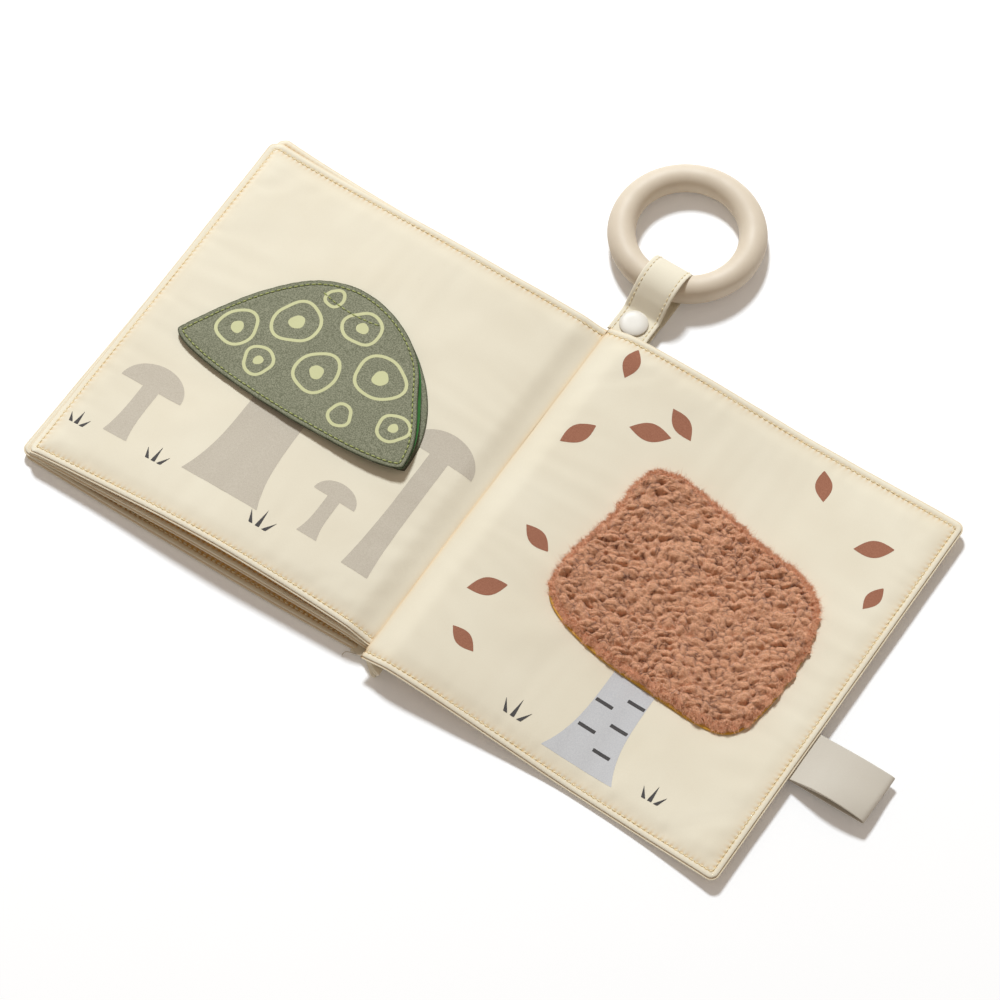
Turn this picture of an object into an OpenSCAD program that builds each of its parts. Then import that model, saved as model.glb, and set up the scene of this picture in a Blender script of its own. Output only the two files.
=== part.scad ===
// A baby's cloth book, lying open on a table. Its crinkly padded leaves are sewn to a folded spine.
// It has a lift-up flap, a fleece patch, and a teething ring on a strap with a snap.
// The spine runs along Y and the origin is on the table, under the middle of the gutter.

/* [Leaves] */
// Height of a leaf, along the spine
leaf_h = 185; // [165:1:210]
// Width of a leaf, from the gutter to its outer edge
leaf_w = 168; // [160:1:190]
// Radius of the leaf corners
corner_r = 5; // [4:0.5:8]
// Width of the flat hem round each leaf
hem_w = 4; // [3:0.5:6]
// Thickness of the hem
hem_t = 2; // [1.6:0.1:2.4]
// Thickness of the padded field inside the hem
pad_t = 3; // [2.6:0.1:3.6]
// Unpadded strip beside the gutter
gutter_w = 12; // [10:0.5:14]
// Width of the seam that joins the inner leaves
seam_w = 5; // [3:0.5:8]
// How far the gutter seam is lifted by the folded spine
seam_rise = 1.8; // [1:0.1:2.4]
// Clear space between leaves that lie on each other
leaf_gap = 0.3; // [0.2:0.1:0.6]
// How far the padding draws the long edges in at their middle
edge_draw = 2; // [0:0.5:3]
// How far the page block stops short of the covers at the bottom
page_short = 2; // [1:0.5:4]
// How high each inner leaf arches over the one below
leaf_arch = 3; // [2:0.2:3.4]

/* [Crinkle film] */
// Thickness of the crinkle film
film_t = 0.2; // [0.1:0.05:0.3]
// Clear space over and under the film
film_gap = 0.1; // [0.05:0.05:0.2]
// Distance from the leaf edge to the film
film_inset = 9; // [7:1:14]

/* [Spine] */
// Thickness of the spine cloth, two layers sewn together
spine_t = 1; // [0.7:0.1:1.3]
// How far the two folds of the spine reach out under the right leaf
spine_reach = 9; // [7:0.5:12]
// Height of one fold of the spine, between the middles of the cloth
spine_fold = 2.1; // [1.8:0.1:2.4]
// Distance over which the right leaf comes down to the table
slope_w = 110; // [90:5:140]
// How far the outer edge of the right leaf stands off the table
edge_curl = 3.5; // [0:0.5:5]
// Width of the part of the right leaf that curls up
curl_w = 70; // [50:5:90]
// How deep the right leaf dips into the gutter
gutter_dip = 1.8; // [1:0.1:2]
// Gap between the gutter line and the right leaf
gutter_gap = 2; // [1.5:0.1:3]
// Gap between the gutter line and the front cover
cover_gap = 5; // [4:0.5:7]

/* [Flap] */
// Width of the flap
flap_w = 116; // [100:1:124]
// Height of the flap over its two tips
flap_h = 58; // [50:1:64]
// How far the lower edge of the flap bows down
flap_bow = 9.5; // [4:0.5:12]
// Distance from the gutter to the middle of the flap
flap_x = 90; // [84:1:96]
// Height of the flap tips over the middle of the page
flap_y = -10; // [-20:1:10]
// How much lower the right tip of the flap is than the left one
flap_tilt = 5; // [0:0.5:8]
// How much fuller the right shoulder of the flap is than the left one
flap_skew = 0.5; // [0:0.1:0.6]
// Thickness of the flap cloth
flap_t = 1; // [0.6:0.1:1.4]
// Thickness of the linings under the flap and the patch
lining_t = 0.6; // [0.4:0.1:0.8]
// How far the lining peeps out at the right of the flap
lining_peep = 1; // [0.5:0.5:2]
// Thickness of the cloth sewn on the page under the flap
base_t = 0.4; // [0.3:0.1:0.6]
// How far that cloth peeps out at the right of the flap
base_peep = 4; // [2:0.5:6]

/* [Fleece patch] */
// Distance from the gutter to the middle of the patch
patch_x = 99; // [94:1:102]
// Height of the middle of the patch over the middle of the page
patch_y = 3; // [-10:1:10]
// Size of the patch, 1 as drawn
patch_size = 1; // [0.85:0.01:1.02]
// Height of the fleece at its edge
fleece_edge = 2.8; // [2:0.1:3.5]
// Height of the fleece inside its edge
fleece_t = 4.6; // [4:0.1:5]

/* [Ring] */
// Middle radius of the teething ring
ring_r = 28; // [26:0.5:32]
// Radius of the ring's round section
tube_r = 6; // [5:0.25:6.5]
// Distance of the middle of the ring from the gutter line
ring_x = 2.6; // [0:0.1:5]
// Height of the ring's section over the table where the strap holds it
tube_lift = 7.7; // [7.5:0.1:8]
// Clear space between the strap and the swinging ring
swing_gap = 0.9; // [0.9:0.1:1.2]

/* [Strap and snap] */
// Width of the strap
strap_w = 18; // [16:0.5:20]
// Distance of the middle of the strap from the gutter line
strap_x = 8; // [7.5:0.5:9]
// Thickness of the strap, two layers sewn together
strap_t = 0.9; // [0.7:0.1:1]
// Distance from the top edge of the leaves to the middle of the snap
snap_out = 7; // [6.5:0.5:9]
// Distance from the middle of the snap to the held section of the ring
strap_run = 22.8; // [22:0.2:26]
// Diameter of the snap caps
cap_d = 12.4; // [11:0.1:13]
// Thickness of a snap cap
cap_t = 1.4; // [1:0.1:1.6]
// Diameter of the socket and of the stud's foot
socket_d = 10.4; // [9:0.1:10.8]
// Diameter of the stud's head
stud_d = 4.4; // [3.6:0.1:5]
// Height between the two layers of the strap at the snap
snap_h = 3; // [2.6:0.1:3.4]
// Diameter of the pins that join the caps through the cloth
pin_d = 2.4; // [1.8:0.1:2.6]
// Clear space between the pieces of the snap
snap_gap = 0.05; // [0.02:0.01:0.1]

/* [Sewn-in label] */
// Length of the folded label outside the leaf
label_l = 36.5; // [25:0.5:40]
// Width of the label
label_w = 24; // [15:0.5:30]
// Distance of the middle of the label below the middle of the page
label_y = 29; // [10:1:50]
// Thickness of the label ribbon
label_t = 0.4; // [0.3:0.05:0.6]
// Height of the folded label at the middle of the ribbon
label_fold = 1.6; // [1:0.1:2.2]

/* [Print] */
// Thickness of the printed fields
ink_t = 0.08; // [0.05:0.01:0.08]
// Width of the big toadstool's stalk
stalk_w = 26; // [18:1:32]
// Width of the birch trunk
trunk_w = 20; // [14:1:26]

/* [Hidden] */

cream = "#efe6cd";
charcoal = "#4a4745";
// Steps along a leaf, from its gutter edge to its outer edge
steps = 24;
// The folded spine carries the inner edge of the right leaf
spine_top = spine_t + 3 * spine_fold;
spine_rise = spine_top + leaf_gap + hem_t / 2 - pad_t / 2 + gutter_dip;
// Clear space between a leaf and what is laid on it
laid_gap = 0.2;
// Clear space between pieces of cloth that are sewn to each other
sewn_gap = 0.05;
// Height of the cut volume that takes an outline through every layer
tall = 60;

front_y = -leaf_h / 2;
back_y = leaf_h / 2;
// The middle inner leaf shows behind the top one at the far edge
page_back = 1;

// Smooth step from 0 to 1
function ease(t) = t <= 0 ? 0 : t >= 1 ? 1 : t * t * (3 - 2 * t);

// Point of the smooth curve through b and c, between its neighbours a and d
function curve_at(a, b, c, d, t) =
    0.5 * (2 * b + (c - a) * t + (2 * a - 5 * b + 4 * c - d) * t * t
           + (3 * b - a - 3 * c + d) * t * t * t);

// Smooth closed outline through its corners p, n points for each
function closed_curve(p, n) =
    let (k = len(p))
    [for (i = [0:k - 1], s = [0:n - 1])
        curve_at(p[(i + k - 1) % k], p[i], p[(i + 1) % k], p[(i + 2) % k], s / n)];

// Smooth open path through its points p, n points for each
function open_curve(p, n) =
    let (k = len(p))
    concat([for (i = [0:k - 2], s = [0:n - 1])
        curve_at(p[max(i - 1, 0)], p[i], p[i + 1], p[min(i + 2, k - 1)], s / n)], [p[k - 1]]);

// Unit direction along a path at its point i
function along(p, i) =
    let (a = p[max(i - 1, 0)], b = p[min(i + 1, len(p) - 1)], v = b - a) v / norm(v);

// Outline of a ribbon of thickness t that follows the path p
function ribbon(p, t) =
    let (last = len(p) - 1)
    concat([for (i = [0:last]) let (v = along(p, i)) p[i] + [-v[1], v[0]] * t / 2],
           [for (i = [last:-1:0]) let (v = along(p, i)) p[i] - [-v[1], v[0]] * t / 2]);

// Heights of the middle of each leaf at the distance d from its gutter edge
function padded(d) = ease(d / gutter_w) * ease((leaf_w - d) / hem_w);
function layer(d) = leaf_gap + hem_t + (pad_t - hem_t) * padded(d);
function hump(d) = leaf_arch * pow(sin(180 * pow(max(0, min(1, d / leaf_w)), 0.8)), 1.5);
function cover_z(d) = pad_t / 2;
function middle_z(d) = cover_z(d) + layer(d) + hump(d) + seam_rise * (1 - ease(d / 60));
function top_z(d) = middle_z(d) + layer(d) + hump(d);
function right_z(d) =
    pad_t / 2 + spine_rise * (1 - ease(d / slope_w)) - gutter_dip * (1 - ease(d / 12))
    + edge_curl * pow(max(0, (d - leaf_w + curl_w) / curl_w), 2);

// The left leaves run to -X from the gutter, the right leaf to +X
right_x0 = gutter_gap;
right_x1 = gutter_gap + leaf_w;
// Height of the cloth's surface over the table, on the left and on the right page
left_top = function(x) top_z(-x) + pad_t / 2;
right_top = function(x) right_z(x - right_x0) + pad_t / 2;

// A layer between the heights lo(x) and hi(x), cut to the outline of its children
module laid(x0, x1, lo, hi) {
    xs = [for (i = [0:steps]) x0 + (x1 - x0) * i / steps];
    intersection() {
        rotate([90, 0, 0]) linear_extrude(height = 2 * leaf_h, center = true)
            polygon(concat([for (x = xs) [x, lo(x)]],
                           [for (i = [steps:-1:0]) [xs[i], hi(xs[i])]]));
        translate([0, 0, -tall / 4]) linear_extrude(height = tall) children();
    }
}

// Outline of a leaf: rounded corners, and top and bottom edges drawn in a little
module leaf_outline(x0, x1, y0, y1, inset) {
    r = corner_r;
    a = x0 + inset + r;
    b = x1 - inset - r;
    c = y0 + inset + r;
    d = y1 - inset - r;
    n = 10;
    corner = function(x, y, start) [for (i = [0:5]) [x, y] + r * [cos(start + 18 * i), sin(start + 18 * i)]];
    polygon(concat(
        [for (i = [1:n - 1]) [a + (b - a) * i / n, c - r + edge_draw * sin(180 * i / n)]],
        corner(b, c, 270), corner(b, d, 0),
        [for (i = [1:n - 1]) [b + (a - b) * i / n, d + r - edge_draw / 2 * sin(180 * i / n)]],
        corner(a, d, 90), corner(a, c, 180)));
}

// A leaf with its mid-height z(x): a flat hem round a thicker padded field, with room for the film
module leaf(x0, x1, y0, y1, z) {
    cavity = film_t / 2 + film_gap;
    difference() {
        union() {
            laid(x0 - 1, x1 + 1, function(x) z(x) - hem_t / 2, function(x) z(x) + hem_t / 2)
                leaf_outline(x0, x1, y0, y1, 0);
            laid(x0 - 1, x1 + 1, function(x) z(x) - pad_t / 2, function(x) z(x) + pad_t / 2)
                intersection() {
                    leaf_outline(x0, x1, y0, y1, hem_w);
                    gutter_clear(y0, y1);
                }
        }
        laid(x0 - 1, x1 + 1, function(x) z(x) - cavity, function(x) z(x) + cavity)
            leaf_outline(x0, x1, y0, y1, film_inset);
    }
}

// The field outside the unpadded strips on both sides of the gutter
module gutter_clear(y0, y1) {
    for (side = [-1, 1])
        translate([side > 0 ? right_x0 + gutter_w : -gutter_w - 2 * leaf_w, y0])
            square([2 * leaf_w, y1 - y0]);
}

// The film inside a leaf, a little smaller than its room
module film(x0, x1, y0, y1, z) {
    color("#f4f4f2") laid(x0 - 1, x1 + 1, function(x) z(x) - film_t / 2, function(x) z(x) + film_t / 2)
        leaf_outline(x0, x1, y0, y1, film_inset + film_gap);
}

front_z = function(x) cover_z(-x);
back_z = function(x) right_z(x - right_x0);
mid_leaf_z = function(x) middle_z(-x);
top_leaf_z = function(x) top_z(-x);

// The two inner leaves, lower one first: bottom edge and top edge
mid_y = [front_y + page_short / 2, back_y + page_back];
top_y = [front_y + page_short, back_y - page_back];

module front_cover() color(cream) leaf(-leaf_w, -cover_gap, front_y, back_y, front_z);

module back_cover() color(cream) leaf(right_x0, right_x1, front_y, back_y, back_z);

// Both inner leaves and the seam that joins them at the gutter
module pages() color(cream) {
    inner = hem_t / 2 - 0.2;
    leaf(-leaf_w, 0, mid_y[0], mid_y[1], mid_leaf_z);
    leaf(-leaf_w, 0, top_y[0], top_y[1], top_leaf_z);
    translate([0, top_y[1] - corner_r, 0]) rotate([90, 0, 0])
        linear_extrude(height = top_y[1] - top_y[0] - 2 * corner_r)
            polygon([[-seam_w, middle_z(seam_w)], [0, middle_z(0) - inner],
                     [0, top_z(0) + inner], [-seam_w, top_z(seam_w)]]);
}

module crinkle_film_front() film(-leaf_w, -cover_gap, front_y, back_y, front_z);

module crinkle_film_back() film(right_x0, right_x1, front_y, back_y, back_z);

module crinkle_film_pages() {
    film(-leaf_w, 0, mid_y[0], mid_y[1], mid_leaf_z);
    film(-leaf_w, 0, top_y[0], top_y[1], top_leaf_z);
}

// The strap is sewn to the end of the spine, which stops short of the top edge by this much
strap_tail = 4.5;
spine_end = back_y - strap_tail;

// Points on a turn of the spine cloth about the middle c, from the angle a to the angle b
function turn(c, a, b) = [for (i = [0:6]) c + spine_fold / 2 * [cos(a + (b - a) * i / 6), sin(a + (b - a) * i / 6)]];

// The spine cloth goes from the front cover to the back cover: a flat run, then two flat folds
module spine_panel() {
    low = spine_t / 2;
    f = spine_fold;
    inner = sewn_gap + spine_t / 2 + f / 2;
    outer = spine_reach - f / 2;
    path = concat(
        [[0.6 - cover_gap, low], [outer - 1, low]],
        turn([outer, low + f / 2], -90, 90),
        turn([inner, low + 1.5 * f], 270, 90),
        turn([outer + 1, low + 2.5 * f], -90, 90),
        [[gutter_gap + 1.2, low + 3 * f]]);
    color(cream) translate([0, spine_end, 0]) rotate([90, 0, 0])
        linear_extrude(height = spine_end - front_y) polygon(ribbon(path, spine_t));
}

// Outline of the flap: a dome on a bowed base. Shift moves it to the right and tucks in its left.
module dome(shift) {
    n = 20;
    half = flap_w / 2 - shift / 2;
    middle = -flap_x + shift;
    tips = function(t) flap_y - flap_tilt * (1 + cos(t)) / 2;
    polygon(concat(
        [for (i = [0:n]) let (t = 180 * i / n)
            [middle + half * cos(t),
             tips(t) + flap_h * pow(max(sin(t), 0), 1.45 - flap_skew * cos(t))]],
        [for (i = [1:n - 1]) let (t = 180 * i / n)
            [middle - half * cos(t), tips(180 - t) - flap_bow * sin(t)]]));
}

// A cloth of thickness t with its underside z over the left page, in the outline of its children.
// It bends at the same places as the leaf below it.
module laid_left(z, t) {
    laid(-leaf_w - 1, 1, function(x) left_top(x) + z, function(x) left_top(x) + z + t) children();
}

module laid_right(z, t) {
    laid(right_x0 - 1, right_x1 + 1, function(x) right_top(x) + z, function(x) right_top(x) + z + t) children();
}

module flap_base() color("#747a5c") laid_left(laid_gap, base_t) dome(base_peep);

lining_z0 = laid_gap + base_t + sewn_gap;

module flap_lining() color("#2f5a2a") laid_left(lining_z0, lining_t) dome(lining_peep);

flap_z0 = lining_z0 + lining_t + sewn_gap;

module flap() color("#6f735f") laid_left(flap_z0, flap_t) dome(0);

// Outline of the patch, drawn about its own middle
patch_points = [
    [-52, -22], [-53, -3], [-49, 27], [-37, 45], [-4, 41], [31, 34],
    [50, 17], [54, -8], [49, -37], [21, -45], [-11, -45], [-41, -37]];

module patch_outline(size) {
    translate([patch_x, patch_y]) scale(size * patch_size) polygon(closed_curve(patch_points, 4));
}

module patch_lining() color("#c9a24a") laid_right(laid_gap, lining_t) patch_outline(1);

fleece_z0 = laid_gap + lining_t + sewn_gap;

module patch_fleece() color("#a8785a") {
    // The pile rounds off towards the rim in three steps
    for (tier = [[0.99, fleece_edge], [0.96, (fleece_edge + fleece_t) / 2], [0.92, fleece_t]])
        laid_right(fleece_z0, tier[1]) patch_outline(tier[0]);
}

snap_y = back_y + snap_out;
hold_y = snap_y + strap_run;
lower_z = cap_t + strap_t / 2;
upper_z = lower_z + strap_t + snap_h;

// The ring's section crosses the strap at a slant, and curves away from the middle of the strap
side = strap_x - ring_x;
far_side = side + strap_w / 2;
ring_y = hold_y + sqrt(ring_r * ring_r - side * side);
slant = asin(side / ring_r);
bend = ring_r - sqrt(ring_r * ring_r - pow(strap_w / 2 / cos(slant), 2));
// Inside of the strap: its far fold, its near side and its top
fold_y = ring_y - sqrt(ring_r * ring_r - far_side * far_side) + tube_r / cos(asin(far_side / ring_r)) + swing_gap;
near_y = hold_y - strap_w / 2 * sin(slant) - bend - tube_r / cos(slant) - swing_gap;
crown_z = tube_lift + bend + tube_r / cos(asin(strap_w / 2 / ring_r)) + swing_gap;

// The strap: out from the spine, under the ring, over it in an arc, and back to the snap
module strap() {
    h = strap_t / 2;
    reach_y = (fold_y - near_y) / 2 + h;
    reach_z = crown_z - tube_lift + h;
    middle_y = (fold_y + near_y) / 2;
    flat = cap_d / 2 + 0.4;
    arc = [for (a = [-36:10:134]) [middle_y + reach_y * cos(a), tube_lift + reach_z * sin(a)]];
    path = concat([
        [spine_end + sewn_gap, lower_z + 0.3], [snap_y - flat, lower_z], [snap_y + flat, lower_z],
        [snap_y + flat + 3, h], [middle_y + reach_y / 2, h]], arc, [
        [middle_y - reach_y, tube_lift + 0.42 * reach_z],
        [snap_y + flat, upper_z], [back_y + 0.3, upper_z]]);
    color(cream) difference() {
        translate([strap_x - strap_w / 2, 0, 0]) rotate([90, 0, 90])
            linear_extrude(height = strap_w) polygon(ribbon(path, strap_t));
        translate([strap_x, snap_y, 0]) cylinder(d = pin_d + 2 * snap_gap, h = tall / 2);
    }
}

// A snap cap as a flat dome, from its flat face up, with its pin going down
module cap() {
    rim = 0.5;
    rotate_extrude() polygon(concat(
        [[0, 0], [cap_d / 2 - rim / 2, 0], [cap_d / 2, rim / 2], [cap_d / 2, rim]],
        [for (i = [1:5]) let (t = 18 * i) [cap_d / 2 * cos(t), rim + (cap_t - rim) * sin(t)]]));
    translate([0, 0, -strap_t - 0.4]) cylinder(d = pin_d, h = strap_t + 0.5);
}

module at_snap(z) {
    translate([strap_x, snap_y, z]) children();
}

module snap_cap_top() color("#efebe0") at_snap(upper_z + strap_t / 2 + snap_gap) cap();

module snap_cap_bottom() color("#efebe0") at_snap(cap_t - snap_gap) mirror([0, 0, 1]) cap();

module snap_socket() color("#e6e2d6") difference() {
    head = snap_h / 2;
    at_snap(upper_z - strap_t / 2 - snap_gap - head) cylinder(d = socket_d, h = head);
    at_snap(upper_z - strap_t / 2 - head - 1) cylinder(d = stud_d + 2 * snap_gap, h = 2);
    at_snap(upper_z - strap_t) cylinder(d = pin_d + 2 * snap_gap, h = strap_t);
}

module snap_stud() color("#e6e2d6") difference() {
    foot = snap_h / 2 - 2 * snap_gap;
    union() {
        at_snap(lower_z + strap_t / 2 + snap_gap) cylinder(d = socket_d, h = foot - snap_gap);
        at_snap(lower_z + strap_t / 2 + snap_gap) cylinder(d = stud_d, h = foot + 0.8);
    }
    at_snap(lower_z) cylinder(d = pin_d + 2 * snap_gap, h = strap_t / 2 + 0.5);
}

// The ring stands on the table at its far side and is lifted by the strap at its near side
tilt = asin((tube_lift - tube_r) / (2 * ring_r));

module ring() color("#c9b8a0")
    translate([ring_x, ring_y, (tube_lift + tube_r) / 2]) rotate([-tilt, 0, 0])
        rotate_extrude($fn = 96) translate([ring_r, 0]) circle(r = tube_r, $fn = 48);

// A ribbon label folded double, sewn in at the outer edge of the right leaf
module care_label() {
    z = back_z(right_x1);
    f = label_fold / 2;
    path = open_curve([
        [right_x1 + sewn_gap, z - 0.3], [right_x1 + 5, z - 0.5], [right_x1 + label_l / 2, z - f],
        [right_x1 + label_l - 2, z - f], [right_x1 + label_l - label_t / 2, z],
        [right_x1 + label_l - 2, z + f], [right_x1 + label_l / 2, z + f], [right_x1 + 5, z + 0.5],
        [right_x1 + sewn_gap, z + 0.3]], 4);
    color("#f3efe2") translate([0, label_w / 2 - label_y, 0]) rotate([90, 0, 0])
        linear_extrude(height = label_w) polygon(ribbon(path, label_t));
}

ink_gap = 0.02;

// A printed field on the left or on the right page, level 0 or on top of another field
module ink_left(level = 0) laid_left(ink_gap + level * (ink_t + 0.01), ink_t) children();

module ink_right(level = 0) laid_right(ink_gap + level * (ink_t + 0.01), ink_t) children();

// A stalk or trunk from its top down, flaring at its foot
module stalk(x, y, w, h, flare) {
    n = 10;
    polygon(concat(
        [for (i = [0:n]) let (t = i / n) [x - w / 2 - flare * pow(t, 4), y - h * t]],
        [for (i = [n:-1:0]) let (t = i / n) [x + w / 2 + flare * pow(t, 4), y - h * t]]));
}

// A toadstool cap with a flat base
module little_cap(x, y, r) {
    n = 16;
    polygon([for (i = [0:n]) let (t = 180 * i / n) [x + r * cos(t), y + 0.8 * r * sin(t)]]);
}

// A tuft of three pointed blades
module tuft(x, y, h) {
    for (lean = [-0.35, 0, 0.35])
        polygon([[x + lean * h - 1, y], [x + lean * h + 1, y], [x + 2 * lean * h, y + h * (1 - abs(lean))]]);
}

// A pointed leaf of length l along the angle a
module small_leaf(x, y, l, a) {
    n = 8;
    translate([x, y]) rotate(a) polygon(concat(
        [for (i = [0:n]) [l * i / n, l * 0.24 * sin(180 * i / n)]],
        [for (i = [n - 1:-1:1]) [l * i / n, -l * 0.24 * sin(180 * i / n)]]));
}

// The prints are drawn for this size of leaf, and grow with the leaf
drawn_w = 168;
drawn_h = 185;
art_w = leaf_w / drawn_w;
art_h = leaf_h / drawn_h;

module grown() scale([art_w, art_h]) children();

// Big stalk under the flap, and small toadstools: place, height, cap radius, stalk width
toadstools = [[-141, -66, 26, 15, 8], [-22, -64, 62, 16, 9], [-47, -62, 20, 10, 6]];

module print_toadstools() color("#a89c86") ink_left() {
    stalk(-flap_x, flap_y, stalk_w, flap_y + 64 * art_h, 6);
    grown() for (m = toadstools) {
        stalk(m[0], m[1] + m[2], m[4], m[2], 2);
        little_cap(m[0], m[1] + m[2], m[3]);
    }
}

module print_grass_left() color(charcoal) ink_left()
    grown() for (g = [[-120, -68, 8], [-66, -70, 9], [-158, -70, 7]]) tuft(g[0], g[1], g[2]);

// The trunk starts under the fleece and ends near the bottom of the page
trunk_top = patch_y - 38;
trunk_h = trunk_top + 83 * art_h;

module print_trunk() color("#c6c4c6") ink_right() stalk(patch_x, trunk_top, trunk_w, trunk_h, 7);

// Short dark marks that come in from the sides of the trunk by turns
module print_bark_marks() color(charcoal) ink_right(1) {
    for (i = [0:4]) let (side = i % 2 == 0 ? 1 : -1)
        translate([patch_x + side * trunk_w * 0.28, trunk_top - trunk_h * (0.25 + 0.1354 * i)])
            square([trunk_w * 0.4, 1.6], center = true);
    grown() for (g = [[66, -80, 9], [132, -80, 8]]) tuft(g[0], g[1], g[2]);
}

// Falling leaves: place, length and angle
leaves = [[14, 34, 17, 60], [34, 56, 18, 20], [20, 74, 15, 100], [58, 66, 16, 150],
          [24, -6, 15, -20], [20, -44, 17, 40], [38, -66, 14, 160],
          [140, 62, 17, 30], [118, 74, 15, 120], [158, 40, 13, 80]];

module print_leaves() color("#9a6a4c") ink_right()
    grown() for (l = leaves) small_leaf(l[0], l[1], l[2], l[3]);

front_cover();
pages();
back_cover();
spine_panel();
crinkle_film_front();
crinkle_film_pages();
crinkle_film_back();
flap_base();
flap_lining();
flap();
patch_lining();
patch_fleece();
strap();
snap_cap_top();
snap_socket();
snap_stud();
snap_cap_bottom();
ring();
care_label();
print_toadstools();
print_grass_left();
print_trunk();
print_bark_marks();
print_leaves();
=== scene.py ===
# %% [markdown]
# # A baby's cloth book, from a CAD frame to a picture
# The book lies open on a table. Its leaves are cotton sewn over thin wadding and a crinkly film. It has
# a lift-up flap, a fleece patch, a label, and a teething ring on a strap with a snap.
# The CAD model is the frame: it says where each piece is and how it moves. This file dresses it. Every
# length below is in millimetres until a mesh is made, because cloth is easier to think of that way.

# %% Load the frame
import math

import bpy
import numpy as np
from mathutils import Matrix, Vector
from mathutils.geometry import delaunay_2d_cdt


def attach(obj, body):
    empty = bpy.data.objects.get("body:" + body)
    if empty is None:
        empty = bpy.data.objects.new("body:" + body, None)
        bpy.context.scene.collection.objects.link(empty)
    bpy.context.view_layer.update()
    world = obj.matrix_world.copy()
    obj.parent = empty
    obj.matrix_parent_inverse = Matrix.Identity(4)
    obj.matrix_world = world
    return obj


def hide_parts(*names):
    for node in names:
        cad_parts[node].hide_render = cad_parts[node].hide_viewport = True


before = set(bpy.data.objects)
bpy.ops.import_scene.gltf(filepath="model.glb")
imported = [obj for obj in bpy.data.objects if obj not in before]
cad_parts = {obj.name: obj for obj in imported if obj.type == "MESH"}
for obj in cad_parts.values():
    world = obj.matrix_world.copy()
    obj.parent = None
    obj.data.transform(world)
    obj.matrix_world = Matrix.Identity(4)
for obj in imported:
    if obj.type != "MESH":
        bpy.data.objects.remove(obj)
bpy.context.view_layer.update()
MM = 0.001

# %% [markdown]
# ## The shape of the open book
# The leaves are soft, so their shape is a height for each distance from the gutter. The left leaves lie
# on each other and arch up a little in the middle; the right leaf comes down from the folded spine to
# the table. These are the same rules as in the CAD source, so that each cloth lands on its solid.

# %% Sizes of the leaves
LEAF_W, LEAF_H = 168.0, 185.0
CORNER = 4.0
GUTTER_W = 12.0
HEM_W = 4.0
HEM_T, PAD_T = 2.0, 3.0
LEAF_GAP, LEAF_ARCH = 0.3, 3.0
SEAM_RISE = 1.8
RIGHT_X0 = 2.0
SPINE_RISE, SLOPE_W, GUTTER_DIP = 8.9, 110.0, 1.8
EDGE_CURL, CURL_W = 3.5, 70.0


def ease(t):
    """Smooth step from 0 to 1."""
    t = np.clip(t, 0, 1)
    return t * t * (3 - 2 * t)


def layer(d):
    """Height from one leaf's middle to the next, where they lie on each other."""
    return LEAF_GAP + HEM_T + (PAD_T - HEM_T) * ease(d / GUTTER_W) * ease((LEAF_W - d) / HEM_W)


def hump(d):
    """How far a leaf arches over the one below."""
    return LEAF_ARCH * np.sin(np.pi * np.clip(d / LEAF_W, 0, 1) ** 0.8) ** 1.5


def cover_mid(d):
    return PAD_T / 2 + 0 * d


def inner_mid(d):
    return cover_mid(d) + layer(d) + hump(d) + SEAM_RISE * (1 - ease(d / 60))


def page_mid(d):
    return inner_mid(d) + layer(d) + hump(d)


def right_mid(d):
    curl = EDGE_CURL * np.maximum(0, (d - LEAF_W + CURL_W) / CURL_W) ** 2
    return PAD_T / 2 + SPINE_RISE * (1 - ease(d / SLOPE_W)) - GUTTER_DIP * (1 - ease(d / 12)) + curl


print("left page stands", round(float(page_mid(np.array([70.0]))[0] + PAD_T / 2), 1), "mm high at its arch")

# %% [markdown]
# ## Random wrinkles that are the same each time
# Wrinkles need smooth randomness. A small table of random heights, read with a smooth blend between its
# entries, gives lumps of any width. The seed is fixed, so each run makes the same cloth.


# %% Smooth noise
def soft_noise(x, y, size, seed):
    """Smooth random heights from -1 to 1, with lumps about size wide."""
    table = np.random.default_rng(seed).uniform(-1, 1, (64, 64))
    u, v = x / size + 31.7, y / size + 17.3
    i, j = np.floor(u).astype(int), np.floor(v).astype(int)
    a, b = u - i, v - j
    a, b = a * a * (3 - 2 * a), b * b * (3 - 2 * b)

    def at(p, q):
        return table[p % 64, q % 64]

    return (at(i, j) * (1 - a) + at(i + 1, j) * a) * (1 - b) + (at(i, j + 1) * (1 - a) + at(i + 1, j + 1) * a) * b


sample = soft_noise(np.arange(50.0), np.arange(50.0), 7, 1)
print("noise from", round(sample.min(), 2), "to", round(sample.max(), 2))

# %% [markdown]
# ## Making meshes
# Almost every piece here is two sheets of cloth that meet at their rim: a leaf, a flap, a strap, a
# label. One helper makes that closed shape from two grids of points, so each piece only has to say
# where its points are.


# %% Mesh helpers
def grid_faces(index):
    """Quads over a grid of vertex numbers, facing up when the first axis is x and the second y."""
    return np.stack([index[:-1, :-1], index[1:, :-1], index[1:, 1:], index[:-1, 1:]], -1).reshape(-1, 4)


def new_object(name, points, faces):
    """A smooth-shaded object from points in millimetres."""
    mesh = bpy.data.meshes.new(name)
    mesh.from_pydata((np.asarray(points, float) * MM).tolist(), [], [list(map(int, f)) for f in faces])
    mesh.polygons.foreach_set("use_smooth", [True] * len(mesh.polygons))
    mesh.update()
    obj = bpy.data.objects.new(name, mesh)
    bpy.context.collection.objects.link(obj)
    return obj


def two_sheets(top, bottom, first=0):
    """Points and faces of a closed shape: two grids of points that share their rim."""
    n, m = top.shape[:2]
    upper = np.arange(n * m).reshape(n, m)
    lower = upper.copy()
    lower[1:-1, 1:-1] = n * m + np.arange((n - 2) * (m - 2)).reshape(n - 2, m - 2)
    points = np.concatenate([top.reshape(-1, 3), bottom[1:-1, 1:-1].reshape(-1, 3)])
    faces = np.concatenate([grid_faces(upper), grid_faces(lower)[:, ::-1]]) + first
    return points, faces


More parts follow.
